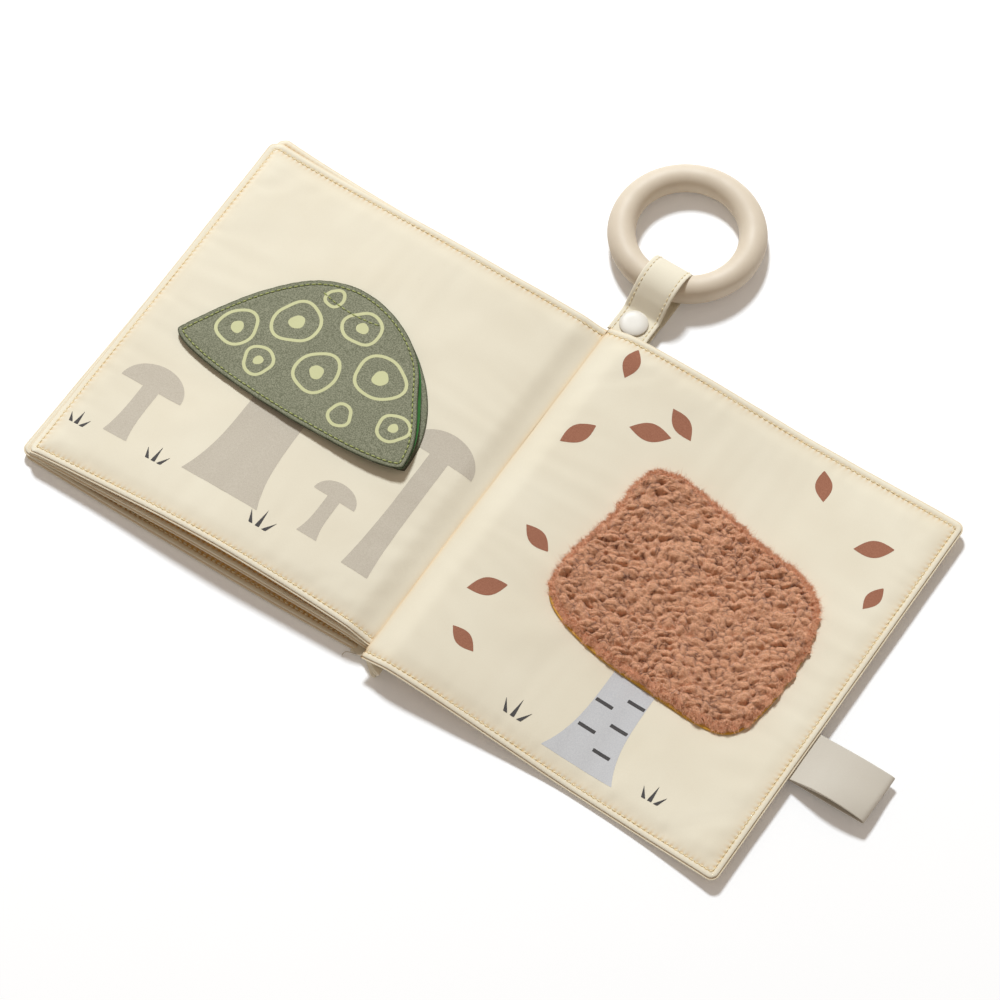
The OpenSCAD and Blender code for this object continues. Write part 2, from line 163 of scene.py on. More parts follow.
def joined(parts):
    """Points and faces of several shapes as one."""
    points, faces, first = [], [], 0
    for p, f in parts:
        points.append(p)
        faces.extend((np.asarray(face) + first).tolist() for face in f)
        first += len(p)
    return np.concatenate(points), faces


def add_mask(obj, name, values):
    """Keeps one number for each vertex, which a material can read by its name."""
    attribute = obj.data.attributes.new(name, "FLOAT", "POINT")
    attribute.data.foreach_set("value", np.asarray(values, np.float32))


# %% [markdown]
# ## Crumples from a cloth simulation
# Sewn cloth is a little larger than the wadding under it, so it buckles next to each seam. That is hard
# to draw and easy to simulate: a sheet is pinned along its seams, grows by three percent and is pushed up
# by a light pressure. Only its short waves are kept, and they are laid on each leaf the other way round,
# so that no two pages match.


# %% Simulated sheet
def bilinear(table, u, v):
    """Reads a table at places from 0 to 1 along both its axes."""
    p = np.clip(u, 0, 1) * (table.shape[0] - 1.001)
    q = np.clip(v, 0, 1) * (table.shape[1] - 1.001)
    i, j = p.astype(int), q.astype(int)
    p, q = p - i, q - j
    return ((table[i, j] * (1 - p) + table[i + 1, j] * p) * (1 - q)
            + (table[i, j + 1] * (1 - p) + table[i + 1, j + 1] * p) * q)


def blurred(table, times):
    for _ in range(times):
        wide = np.pad(table, 1, mode="edge")
        table = 0.25 * (wide[:-2, 1:-1] + wide[2:, 1:-1] + wide[1:-1, :-2] + wide[1:-1, 2:])
    return table


def crumpled_sheet(count_w=92, count_h=102, frames=22):
    """Short waves of a pinned sheet that has grown, as heights with a spread of 1."""
    x, y = np.meshgrid(np.linspace(0, 1.68, count_w), np.linspace(0, 1.85, count_h), indexing="ij")
    z = 0.004 * soft_noise(x * 100, y * 100, 9, 5)
    flat = np.stack([x, y, z], -1).reshape(-1, 3)
    sheet = new_object("simulated_sheet", flat / MM, grid_faces(np.arange(count_w * count_h).reshape(count_w, count_h)))
    edge = np.minimum(np.minimum(x, 1.68 - x), np.minimum(y, 1.85 - y)).ravel()
    pins = sheet.vertex_groups.new(name="sewn")
    pins.add(np.nonzero(edge < 0.03)[0].tolist(), 1.0, "REPLACE")
    cloth = sheet.modifiers.new("cloth", "CLOTH")
    settings = cloth.settings
    settings.quality, settings.mass = 5, 0.3
    settings.tension_stiffness = settings.compression_stiffness = 12
    settings.shear_stiffness, settings.bending_stiffness = 5, 0.4
    settings.shrink_min = settings.shrink_max = -0.03
    settings.use_pressure, settings.uniform_pressure_force = True, 1.5
    settings.effector_weights.gravity = 0
    settings.vertex_group_mass = "sewn"
    cloth.collision_settings.use_collision = False
    cloth.point_cache.frame_start, cloth.point_cache.frame_end = 1, frames
    for step in range(1, frames + 1):
        bpy.context.scene.frame_set(step)
    done = sheet.evaluated_get(bpy.context.evaluated_depsgraph_get())
    height = np.array([v.co.z for v in done.data.vertices]).reshape(count_w, count_h)
    bpy.context.scene.frame_set(1)
    mesh = sheet.data
    bpy.data.objects.remove(sheet)
    bpy.data.meshes.remove(mesh)
    waves = blurred(height, 1) - blurred(height, 60)
    return np.clip(waves / max(float(waves.std()), 1e-9), -3, 3)


CRUMPLE = crumpled_sheet()
if CRUMPLE is None:
    print("quick look: no simulation")
else:
    print("crumples from", round(CRUMPLE.min(), 2), "to", round(CRUMPLE.max(), 2))


def crumple(u, v, turn):
    """Crumples at places from 0 to 1 of a leaf, turned another way for each leaf."""
    u, v = (1 - u if turn & 1 else u), (1 - v if turn & 2 else v)
    if CRUMPLE is None:
        return 1.2 * soft_noise(u * 168, v * 185, 7, 29 + turn)
    return bilinear(CRUMPLE, u, v)


# %% [markdown]
# ## Leaves
# A leaf is two cloths sewn together, turned and pressed, so its rim shows two thin rolled edges with a
# fine groove between them, the upper one a little further in. A row of stitches
# runs 3.3 mm inside the rim and holds the cloth down; inside
# it the wadding swells. The rim is a profile that wraps round the edge: for each place along the wrap it
# says how far in and how high the cloth is. At the gutter there is no hem: the page dips into the fold.

# %% Rim profile
SEAM_IN = 3.3
STITCH = 2.5
RIM_SHIFT = 0.4
RIM_RUN = np.array([0, 0.18, 0.42, 0.72, 1.1, 1.6, 2.4, 3.0, 3.4, 3.7, 4.0, 4.4, 5.2, 6.4])
RIM_IN = np.array([0.0, 0.08, 0.42, 0.8, 0.72, 1.1, 2.0, 2.6, 3.0, 3.3, 3.6, 4.0, 4.8, 6.0])
RIM_UP = np.array([-0.12, 0.08, 0.2, 0.18, 0.52, 0.8, 0.84, 0.77, 0.6, 0.52, 0.58, 0.7, 0.88, 1.02])
RIM_DOWN = np.array([0.12, 0.5, 0.76, 0.84, 0.84, 0.84, 0.84, 0.77, 0.6, 0.52, 0.58, 0.7, 0.88, 1.02])
SEAM_ROW = 9
GUTTER_LINES = np.array([3.0, 2.0, 1.3, 0.8, 0.4, 0.15, 0.0])
print("hem is", 2 * RIM_UP.max(), "mm thick")


def lip(e, half, width):
    """Half thickness of a plain rounded edge."""
    return half * np.sqrt(np.clip(1 - (1 - np.clip(e / width, 0, 1)) ** 2, 0, 1))


def field_lines(start, stop):
    count = int(round((stop - start) / (STITCH / 2)))
    return np.linspace(start, stop, count + 1)[1:-1]


# %% One leaf
class Leaf:
    """One padded leaf. Places on it are a, from the outer edge to the gutter, and b, from bottom to top."""

    def __init__(self, outer, gutter_x, low, high, bow, middle, gutter, seed, tucked=False):
        self.outer, self.gutter_x, self.low, self.high, self.bow = outer, gutter_x, low, high, bow
        self.tucked = tucked
        self.middle, self.gutter, self.seed = middle, gutter, seed
        self.w, self.h = abs(sum(outer) / 2 - gutter_x), (sum(high) - sum(low)) / 2
        wide, tall = self.w + RIM_SHIFT, self.h + 2 * RIM_SHIFT
        self.lines_a = np.concatenate([RIM_RUN, field_lines(RIM_RUN[-1], wide - 3), wide - GUTTER_LINES])
        self.lines_b = np.concatenate([RIM_RUN, field_lines(RIM_RUN[-1], tall - RIM_RUN[-1]), (tall - RIM_RUN)[::-1]])
        a, b, run = self.rounded(*np.meshgrid(self.lines_a, self.lines_b, indexing="ij"), tall)
        self.x, self.y = self.place(a, b)
        self.run = run
        self.top, self.top_shade = self.face(a, b, run, 1)
        self.bottom, self.bottom_shade = self.face(a, b, run, -1)

    def rounded(self, a, b, tall):
        """Rounds the two outer corners, and wraps the first rows round the rim."""
        r = CORNER + RIM_SHIFT
        upper = b > tall / 2
        side = np.where(upper, tall - b, b)
        p, q = np.clip(1 - a / r, 0, 1), np.clip(1 - side / r, 0, 1)
        far, near = np.maximum(p, q), np.minimum(p, q)
        angle = np.pi / 4 * near / np.maximum(far, 1e-9)
        big, small = np.cos(angle), np.sin(angle)
        in_a, in_b = np.where(p >= q, big, small), np.where(p >= q, small, big)
        near_rim = far > 0
        run = np.where(near_rim, r * (1 - far), np.minimum(a, side))
        reach = CORNER - np.interp(run, RIM_RUN, RIM_IN)
        a = np.where(p > 0, r - reach * in_a, a) - RIM_SHIFT
        side = np.where(q > 0, r - reach * in_b, side) - RIM_SHIFT
        return a, np.where(upper, self.h - side, side), run

    def sides(self, t):
        """The lower and the upper edge at a share of the way to the gutter. The edges aren't quite straight."""
        bow = np.sin(np.pi * np.clip(t, 0, 1)) ** 0.7
        pairs = zip((self.low, self.high), self.bow)
        return tuple(side[0] * (1 - t) + side[1] * t + much * bow for side, much in pairs)

    def place(self, a, b):
        """Where a place of the leaf is on the table."""
        t, k = a / self.w, b / self.h
        low, high = self.sides(t)
        outer = self.outer[0] * (1 - k) + self.outer[1] * k
        return outer * (1 - t) + self.gutter_x * t, low * (1 - k) + high * k

    def find(self, x, y):
        """The place of the leaf that is at x, y."""
        t, k = 0.5, 0.5
        for _ in range(6):
            outer = self.outer[0] * (1 - k) + self.outer[1] * k
            t = np.clip((x - outer) / (self.gutter_x - outer), 0, 1)
            low, high = self.sides(t)
            k = np.clip((y - low) / (high - low), 0, 1)
        return t * self.w, k * self.h

    def face(self, a, b, run, side):
        """Height and painted shade of one face."""
        d = np.abs(self.x - self.gutter)
        to_gutter = self.w - a
        seed = self.seed + (0 if side > 0 else 7)
        pad = (PAD_T / 2 - RIM_UP[-1]) * ease((run - SEAM_IN - 1) / 7) * ease(d / GUTTER_W)
        fold = (0.55 if side > 0 and not self.tucked else 0.5) * np.exp(-np.maximum(to_gutter - 0.1, 0) / 1.1)
        up = np.interp(run, RIM_RUN, RIM_UP if side > 0 else RIM_DOWN) + pad
        inside_seam = ease((run - SEAM_IN - 0.6) / 3)
        near_a = np.exp(-np.maximum(a - SEAM_IN, 0) / 5)
        near_b = np.exp(-np.maximum(np.minimum(b, self.h - b) - SEAM_IN, 0) / 5)
        pucker = near_a * soft_noise(a / 9, b, 3.1, seed) + near_b * soft_noise(a, b / 9, 3.1, seed + 1)
        waves = crumple(a / self.w, b / self.h, seed % 4)
        broad = soft_noise(a, b, 41, seed + 2) + 0.6 * soft_noise(a, b, 19, seed + 3)
        soft = inside_seam * (0.3 * pucker + 0.2 * waves * ease(d / 10) + 0.3 * ease((run - 6) / 20) * broad)
        every_a = (-1.0) ** np.arange(a.shape[0])[:, None]
        every_b = (-1.0) ** np.arange(a.shape[1])[None, :]
        at_side = np.minimum(b, self.h - b) > a
        bead = np.exp(-(((run - SEAM_IN - RIM_SHIFT - 0.2) / 1.1) ** 2)) * np.where(at_side, every_b, every_a)
        pinch = 0.2 * bead
        z = self.middle(d) + side * (up + soft + pinch - np.minimum(fold, up - 0.05))
        z = z + 0.25 * soft_noise(a, b, 15, self.seed + 5) * np.exp(-run / 3)
        # Painted shade: tan along the seam valley, lighter on the puffs between stitches, dark in the groove between
        # the two rolled edges, and yellow in the gutter fold.
        shade = (0.3 * np.exp(-np.maximum(run - SEAM_IN - RIM_SHIFT, 0) / 1.8) * (run > SEAM_IN - 0.1) - 0.3 * bead
                 + 0.5 * np.exp(-(((run - 0.62) / 0.25) ** 2)) + 0.4 * np.exp(-to_gutter / 0.9))
        # Painted shade: the undersides and the tucked leaves turn orange-brown near the rim, for the deep gaps between
        # the leaves.
        if side < 0 or self.tucked:
            shade = shade + 0.75 * ease((run - 1.5) / 3) * np.exp(-run / 30)
        rim = np.zeros(z.shape, bool)
        rim[-1] = True
        z = np.where(rim, self.middle(d) + (-0.1 if self.tucked else 0.65), z)
        return np.maximum(z, 0.03), np.clip(shade, 0, 1)

    def read(self, table, x, y):
        a, b = self.find(np.asarray(x, float), np.asarray(y, float))
        a, b = a + RIM_SHIFT, b + RIM_SHIFT
        i = np.clip(np.searchsorted(self.lines_a, a) - 1, 0, len(self.lines_a) - 2)
        j = np.clip(np.searchsorted(self.lines_b, b) - 1, 0, len(self.lines_b) - 2)
        p = (a - self.lines_a[i]) / (self.lines_a[i + 1] - self.lines_a[i])
        q = (b - self.lines_b[j]) / (self.lines_b[j + 1] - self.lines_b[j])
        return ((table[i, j] * (1 - p) + table[i + 1, j] * p) * (1 - q)
                + (table[i, j + 1] * (1 - p) + table[i + 1, j + 1] * p) * q)

    def height(self, x, y):
        """Height of the upper face at x, y."""
        return self.read(self.top, x, y)

    def shape(self):
        tables = [np.stack([self.x, self.y, z], -1) for z in (self.top, self.bottom)]
        if self.outer[0] > self.gutter_x:
            tables = [t[::-1] for t in tables]
        return two_sheets(*tables)

    def shades(self):
        top, bottom = self.top_shade, self.bottom_shade
        if self.outer[0] > self.gutter_x:
            top, bottom = top[::-1], bottom[::-1]
        return np.concatenate([top.ravel(), bottom[1:-1, 1:-1].ravel()])

    def seam(self, side):
        """The stitched line round three sides, as points on one face."""
        z, k = (self.top if side > 0 else self.bottom), SEAM_ROW
        grid = np.stack([self.x, self.y, z], -1)
        last = grid.shape[0] - 4
        return np.concatenate([grid[last:k:-1, k], grid[k, k:-k - 1], grid[k:last, -k - 1]])


# %% The four leaves
front_leaf = Leaf((-171.2, -168.9), -4.6, (-90.8, -88.9), (93.2, 92.5), (-1.0, -1.0), cover_mid, 0, 11, tucked=True)
inner_leaf = Leaf((-171.9, -168.9), 0.4, (-91.0, -87.4), (95.6, 91.6), (1.0, -2.8), inner_mid, 0, 23, tucked=True)
page_leaf = Leaf((-168.9, -170.3), 0.98, (-90.8, -86.4), (91.0, 90.8), (2.0, -2.6), page_mid, 0, 35)
right_leaf = Leaf((173.2, 173.6), 1.02, (-96.4, -93.0), (96.0, 92.4), (1.7, 2.6), right_mid, RIGHT_X0, 47)

cloth_front_cover = new_object("cloth_front_cover", *front_leaf.shape())
cloth_pages = new_object("cloth_pages", *joined([inner_leaf.shape(), page_leaf.shape()]))
cloth_back_cover = new_object("cloth_back_cover", *right_leaf.shape())
for leaf, body, leaves in ((cloth_front_cover, "front_cover", [front_leaf]),
                           (cloth_pages, "root", [inner_leaf, page_leaf]),
                           (cloth_back_cover, "back_cover", [right_leaf])):
    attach(leaf, body)
    # The mask holds each leaf's painted shade.
    add_mask(leaf, "crease", np.concatenate([one.shades() for one in leaves]))
    print(leaf.name, len(leaf.data.polygons), "faces")
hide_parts("front_cover")
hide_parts("pages")
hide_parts("back_cover")

# %% [markdown]
# ## Ribbons of cloth
# The spine, the strap and the label are ribbons that follow a path seen from the side. A ribbon is made
# from its path, the places across its width and its thickness, with round edges like the leaves' lips.


# %% Ribbon helper
def spaced(path, pitch):
    """Points along a path, about a pitch apart."""
    path = np.asarray(path, float)
    run = np.concatenate([[0], np.cumsum(np.linalg.norm(np.diff(path, axis=0), axis=1))])
    at = np.linspace(0, run[-1], max(int(round(run[-1] / pitch)), 2) + 1)
    return np.stack([np.interp(at, run, path[:, k]) for k in range(path.shape[1])], -1), at


def smoothed(path, times):
    """Rounds the bends of a path."""
    path = path.copy()
    for _ in range(times):
        path[1:-1] = 0.25 * path[:-2] + 0.5 * path[1:-1] + 0.25 * path[2:]
    return path


def normals_of(path):
    along = np.gradient(path, axis=0)
    along /= np.linalg.norm(along, axis=1, keepdims=True)
    return np.stack([-along[:, 1], along[:, 0]], -1)


def edge_lines(width, pitch):
    """Places across a ribbon, dense at its two edges."""
    rim = np.array([0, 0.08, 0.25, 0.5, 0.9, 1.4, 1.9, 2.4])
    field = np.linspace(rim[-1], width - rim[-1], max(int(round((width - 2 * rim[-1]) / pitch)), 2) + 1)
    return np.concatenate([rim[:-1], field, (width - rim[:-1])[::-1]])


def ribbon(path, run, across, thick, place, dent=None):
    """A closed ribbon. place(p, q, c) turns path coordinates and a place across into a point."""
    normal = normals_of(path)
    run2, across2 = np.meshgrid(run, across, indexing="ij")
    e = np.minimum(np.minimum(across2, across[-1] - across2), np.minimum(run2, run[-1] - run2))
    half = lip(e, thick / 2, thick * 0.7)
    if dent is not None:
        half = half - dent(run2, across2)
    sides = []
    for sign in (1, -1):
        p = path[:, None, 0] + sign * normal[:, None, 0] * half
        q = path[:, None, 1] + sign * normal[:, None, 1] * half
        sides.append(np.stack(np.broadcast_arrays(*place(p, q, across2)), -1))
    return sides


# %% Spine cloth
SPINE_T, SPINE_FOLD, SPINE_REACH = 1.0, 2.1, 9.0
SPINE_END, FRONT_Y = 88.0, -92.5


def turn(y, z, start, stop):
    """Points on a fold of the spine cloth."""
    return [(y + SPINE_FOLD / 2 * math.cos(math.radians(a)), z + SPINE_FOLD / 2 * math.sin(math.radians(a)))
            for a in np.linspace(start, stop, 9)]


low, inner, outer = SPINE_T / 2, 0.05 + SPINE_T / 2 + SPINE_FOLD / 2, SPINE_REACH - SPINE_FOLD / 2
spine_path = ([(-6.4, low + 0.9), (-3.0, low + 0.8), (1.0, low), (outer - 1, low)]
              + turn(outer, low + SPINE_FOLD / 2, -90, 90)
              + turn(inner, low + 1.5 * SPINE_FOLD, 270, 90) + turn(outer + 1, low + 2.5 * SPINE_FOLD, -90, 90)
              + [(RIGHT_X0 + 1.2, low + 3 * SPINE_FOLD)])
spine_path, spine_run = spaced(spine_path, 0.6)
spine_across = edge_lines(SPINE_END - FRONT_Y, 3)


def spine_place(p, q, c):
    """The folds fan out at the front, where nothing holds them."""
    near = np.exp(-c / 9)
    reach = ease(p / 9.5)
    front = FRONT_Y + 2.4 - 4.6 * reach
    joined_up = q + near * 2.8 * np.exp(-(((p - 0.2) / 2.4) ** 2)) * (q < 2)
    spread = near * reach * (0.5 * soft_noise(c, p + 3 * q, 6, 62) - 0.25)
    soft = 0.15 * soft_noise(c, p, 9, 61)
    along = front + c * (SPINE_END - front) / (SPINE_END - FRONT_Y)
    return p + soft + near * reach * 0.25 * (q - 3), along, np.maximum(joined_up + spread, 0.02)


top_side, low_side = ribbon(spine_path, spine_run, spine_across, SPINE_T, spine_place)
cloth_spine = new_object("cloth_spine", *two_sheets(top_side, low_side))
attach(cloth_spine, "root")
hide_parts("spine_panel")
print("spine cloth is", round(spine_run[-1], 1), "mm wide when flat")

# %% [markdown]
# ## Stitches
# The top-stitching is one of the first things seen on a sewn toy. Each stitch is a short thread that
# comes out of one needle hole and goes into the next, so it is made as a small bulged capsule with
# sunken ends. Thousands of them are built in one go with array arithmetic.

# %% Stitches along a line
THREAD_R = 0.32
STATIONS = np.array([-0.38, -0.3, -0.12, 0.12, 0.3, 0.38])
BULGE = np.array([0.0, 0.75, 1.0, 1.0, 0.75, 0.0])
SIDES = 6
HOLE_R = 0.36


def stitches(line, pitch=STITCH, radius=THREAD_R, up=1.0, turn_seed=7):
    """Stitches along a line of points on a cloth, and between each two of them a flat disc at the needle hole, which
    carries painted shade.
    """
    line = np.asarray(line, float)
    run = np.concatenate([[0], np.cumsum(np.linalg.norm(np.diff(line, axis=0), axis=1))])
    count = int(run[-1] / pitch)
    rng = np.random.default_rng(turn_seed)
    centre = (np.arange(count) + 0.5) * run[-1] / count + rng.uniform(-0.06, 0.06, count)
    at = centre[:, None] + STATIONS[None] * pitch
    x, y, z = (np.interp(at, run, line[:, k]) for k in range(3))
    along = np.stack([x[:, -1] - x[:, 0], y[:, -1] - y[:, 0]], -1)
    along /= np.linalg.norm(along, axis=1, keepdims=True)
    sideways = rng.uniform(-0.07, 0.07, (count, 1))
    angle = np.linspace(0, 2 * np.pi, SIDES, endpoint=False)
    wide = radius * BULGE[None, :, None] * np.cos(angle) + sideways[..., None]
    tall = radius * 0.8 * BULGE[None, :, None] * np.sin(angle)
    lifted = z + up * (0.2 * BULGE - 0.08)
    px = x[..., None] - along[:, 1, None, None] * wide
    py = y[..., None] + along[:, 0, None, None] * wide
    points = np.stack(np.broadcast_arrays(px, py, lifted[..., None] + tall), -1)[:, 1:-1]
    tips = np.stack([x, y, lifted], -1)[:, [0, -1]]
    hole = np.stack([np.interp(centre + pitch / 2, run, line[:, k]) for k in range(3)], -1)[:, None] + (0, 0, 0.05 * up)
    disc = HOLE_R * np.stack([np.cos(angle), np.sin(angle), 0 * angle], -1)[None]
    each = np.concatenate([points.reshape(count, -1, 3), tips, hole + disc], 1)
    rings = len(STATIONS) - 2
    first_hole = rings * SIDES + 2
    faces = [tuple(first_hole + k for k in (range(SIDES) if up > 0 else range(SIDES - 1, -1, -1)))]
    for s in range(SIDES):
        t = (s + 1) % SIDES
        faces += [(r * SIDES + s, r * SIDES + t, (r + 1) * SIDES + t, (r + 1) * SIDES + s) for r in range(rings - 1)]
        faces.append((rings * SIDES, t, s))
        faces.append((rings * SIDES + 1, (rings - 1) * SIDES + s, (rings - 1) * SIDES + t))
    stride = each.shape[1]
    all_faces = [[v + k * stride for v in f] for k in range(count) for f in faces]
    return each.reshape(-1, 3), all_faces


def stitch_object(name, rows, body):
    """One object for several rows. Its mask is 1 at the needle holes, which get painted shade."""
    points, faces = joined(rows)
    obj = new_object(name, points, faces)
    stride = (len(STATIONS) - 2) * SIDES + 2 + SIDES
    add_mask(obj, "crease", np.arange(len(points)) % stride >= stride - SIDES)
    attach(obj, body)
    print(name, len(points) // stride, "stitches")
    return obj


cotton_stitches = [
    stitch_object("stitches_front_cover", [stitches(front_leaf.seam(1)), stitches(front_leaf.seam(-1), up=-1.0)],
                  "front_cover"),
    stitch_object("stitches_pages", [stitches(page_leaf.seam(1))], "root"),
    stitch_object("stitches_back_cover", [stitches(right_leaf.seam(1)), stitches(right_leaf.seam(-1), up=-1.0)],
                  "back_cover"),
]


# %% Loose thread at the spine
def tube(path, radius, sides=8):
    """A thin tube along a path in space."""
    path, _ = spaced(smoothed(spaced(path, 0.4)[0], 6), 0.3)
    along = np.gradient(path, axis=0)
    along /= np.linalg.norm(along, axis=1, keepdims=True)
    side = np.cross(along, (0, 0, 1.0))
    side /= np.linalg.norm(side, axis=1, keepdims=True)
    up = np.cross(side, along)
    a = np.linspace(0, 2 * np.pi, sides, endpoint=False)[None, :, None]
    rings = path[:, None] + radius * (np.cos(a) * side[:, None] + np.sin(a) * up[:, None])
    index = np.arange(len(path) * sides).reshape(len(path), sides)
    index = np.concatenate([index, index[:, :1]], 1)
    caps = [index[0, :-1].tolist(), index[-1, :-1][::-1].tolist()]
    return rings.reshape(-1, 3), grid_faces(index)[:, ::-1].tolist() + caps


THREAD_PATH = [(-1.5, -89.6, 1.9), (-3.2, -90.0, 1.7), (-5.6, -90.9, 2.3), (-7.9, -91.5, 1.6), (-8.2, -93.3, 0.5)]
loose_thread = new_object("loose_thread", *tube(THREAD_PATH, 0.22))
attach(loose_thread, "root")
print("loose thread:", len(loose_thread.data.polygons), "faces")

# %% [markdown]
# ## Flap
# The flap is a dome of printed cotton with a velvety lining, sewn down near its top. Its lower right
# side stands off the page, so the lining and the cloth below it show there. The flap, the lining and
# the base share one outline rule and one rule for how far they are lifted.

# %% Flap, lining and base
FLAP_X, FLAP_Y, FLAP_HALF, FLAP_TALL, FLAP_BOW = -89.2, -10.0, 58.8, 58.0, 9.5
FLAP_TILT, FLAP_SKEW = 5.0, 0.5


def dome_grid(pull, tuck, columns=120, rows=72):
    """A grid over the dome, and its distance from the outline."""
    angle = np.linspace(np.pi, 0, columns)
    t = 0.5 - 0.5 * np.cos(np.linspace(0, np.pi, rows))
    x = (FLAP_X + FLAP_HALF * np.cos(angle))[:, None] + 0 * t
    tips = FLAP_Y - FLAP_TILT * (1 + np.cos(angle)) / 2
    arch = np.maximum(np.sin(angle), 0)
    top = tips + FLAP_TALL * arch ** (1.45 - FLAP_SKEW * np.cos(angle))
    low_y = tips - FLAP_BOW * arch + tuck * np.sqrt(arch)
    y = low_y[:, None] + (top - low_y)[:, None] * t
    x = x - pull * np.exp(-(((y - 14) / 17) ** 2)) * ease((x + 78) / 40)
    rim = np.concatenate([np.stack([x[:, 0], y[:, 0]], -1), np.stack([x[:, -1], y[:, -1]], -1)[::-1]])
    rim = spaced(rim, 0.5)[0]
    flat = np.stack([x.ravel(), y.ravel()], -1)
    e = np.concatenate([np.sqrt(((c[:, None] - rim[None]) ** 2).sum(-1).min(1)) for c in np.array_split(flat, 12)])
    return x, y, e.reshape(x.shape), rim


def flap_lift(x, y):
    """How far the flap stands off the page."""
    free = ease((34 - y) / 46)
    right = ease((x + 112) / 78)
    seam = np.exp(-(((y - 38) / 5) ** 2) - ((x + 92) / 16) ** 2)
    return free * (0.4 + 2.2 * right**1.5) - 0.5 * seam + 0.25 * free * soft_noise(x, y, 24, 71)


def flap_cloth(name, pull, tuck, z0, thick, lifted, dent, seed):
    x, y, e, rim = dome_grid(pull, tuck)
    half = lip(e, thick / 2, max(thick * 0.7, 0.5))
    base = page_leaf.height(x, y) + z0 + thick / 2 + lifted * np.maximum(flap_lift(x, y), 0)
    base = base + 0.05 * soft_noise(x, y, 6, seed)
    groove = dent * np.exp(-(((e - 2.1) / 0.5) ** 2))
    top = np.stack([x, y, base + half - groove], -1)
    bottom = np.stack([x, y, base - half], -1)
    points, faces = two_sheets(top, bottom)
    obj = new_object(name, points, faces)
    # Painted shade: darker within about half a millimetre of the rounded rim.
    edge = np.exp(-((np.concatenate([e.ravel(), e[1:-1, 1:-1].ravel()]) / 0.45) ** 2))
    add_mask(obj, "crease", edge)
    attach(obj, "root")
    area = 0.5 * abs(float(np.sum(rim[:, 0] * np.roll(rim[:, 1], -1) - rim[:, 1] * np.roll(rim[:, 0], -1))))
    print(name, round(area / 100, 1), "square centimetres")
    return obj, area * MM * MM, rim


def flap_height(x, y):
    """Upper face of the flap."""
    return page_leaf.height(x, y) + 1.3 + 1.0 + np.maximum(flap_lift(x, y), 0) + 0.05 * soft_noise(x, y, 6, 83)


flap_base, base_area, base_rim = flap_cloth("flap_base_cloth", 0, 3.4, 0.2, 0.4, 0, 0, 81)
lining, lining_area, lining_rim = flap_cloth("flap_lining_cloth", 3.5, 0.9, 0.65, 0.6, 1, 0, 82)
flap, flap_area, flap_rim = flap_cloth("flap_cloth", 5.0, 0, 1.3, 1.0, 1, 0.2, 83)
for piece, node, slot, area, on in (
    (flap_base, "flap_base", "flap_green", base_area, "cloth_pages"),
    (lining, "flap_lining", "lining_green", lining_area, "flap_base_cloth"),
    (flap, "flap", "flap_green", flap_area, "flap_lining_cloth"),
):
    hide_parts(node)


# %% Flap stitches
def inset_line(rim, inset):
    """A closed line inside an outline, at the same distance all round."""
    around = np.roll(rim, -1, 0) - np.roll(rim, 1, 0)
    around /= np.maximum(np.linalg.norm(around, axis=1, keepdims=True), 1e-9)
    inward = np.stack([-around[:, 1], around[:, 0]], -1)
    line = rim + inset * inward
    gap = np.sqrt(((line[:, None] - rim[None]) ** 2).sum(-1).min(1))
    line = line[gap > inset * 0.93]
    return np.concatenate([line, line[:1]])


def on_flap(line):
    return np.column_stack([line, flap_height(line[:, 0], line[:, 1])])


flap_seam = inset_line(flap_rim, 2.1)
sewn_down = np.stack([np.linspace(-106, -77, 20), 36.5 - 3 * np.sin(np.linspace(0.2, 2.6, 20))], -1)
flap_stitches = stitch_object("stitches_flap", [stitches(on_flap(flap_seam)), stitches(on_flap(sewn_down))], "root")


# %% [markdown]
# ## Printed fields
# The prints are ink in the cloth, with crisp outlines and no thickness to speak of. An outline filled
# with small triangles is laid on the page's own surface, so it follows each wrinkle. The design is a
# plain toadstool meadow and falling leaves, in the soft greys and browns of the real print.


# %% Print helper
def inside(points, outline):
    """Which points are inside a closed outline."""
    x, y = points[:, 0][:, None], points[:, 1][:, None]
    ax, ay = outline[:, 0], outline[:, 1]
    bx, by = np.roll(ax, -1), np.roll(ay, -1)
    crossing = ((ay > y) != (by > y)) & (x < (bx - ax) * (y - ay) / np.where(by == ay, 1e-9, by - ay) + ax)
    return crossing.sum(1) % 2 == 1


def printed(outline, surface, lift=0.05, pitch=1.5):
    """Points and triangles of a filled outline that lies on a surface."""
    outline = spaced(np.concatenate([outline, outline[:1]]), pitch * 0.5)[0][:-1]
    lo, hi = outline.min(0), outline.max(0)
    gx, gy = np.meshgrid(np.arange(lo[0], hi[0], pitch), np.arange(lo[1], hi[1], pitch))
    grid = np.stack([gx.ravel(), gy.ravel()], -1)
    grid = grid[inside(grid, outline)]
    if len(grid):
        near = np.sqrt(((grid[:, None] - outline[None]) ** 2).sum(-1).min(1))
        grid = grid[near > pitch * 0.45]
    every = [Vector(p) for p in np.concatenate([outline, grid])]
    flat, _, faces, _, _, _ = delaunay_2d_cdt(every, [], [list(range(len(outline)))], 1, 1e-6)
    flat = np.array([tuple(p) for p in flat])
    z = surface(flat[:, 0], flat[:, 1]) + lift
    return np.column_stack([flat, z]), [list(f) for f in faces]


def print_object(name, shapes, surface, body, nodes, lift=0.05):
    obj = new_object(name, *joined([printed(np.array(s, float), surface, lift) for s in shapes]))
    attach(obj, body)
    if nodes:
        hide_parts(*nodes)
    print(name, len(obj.data.polygons), "triangles")
    return obj


# %% Left page print
def stalk(x, y, w, h, flare, n=24):
    t = np.linspace(0, 1, n)
    return np.concatenate([np.stack([x - w / 2 - flare * t**4, y - h * t], -1),
                           np.stack([x + w / 2 + flare * t**4, y - h * t], -1)[::-1]])


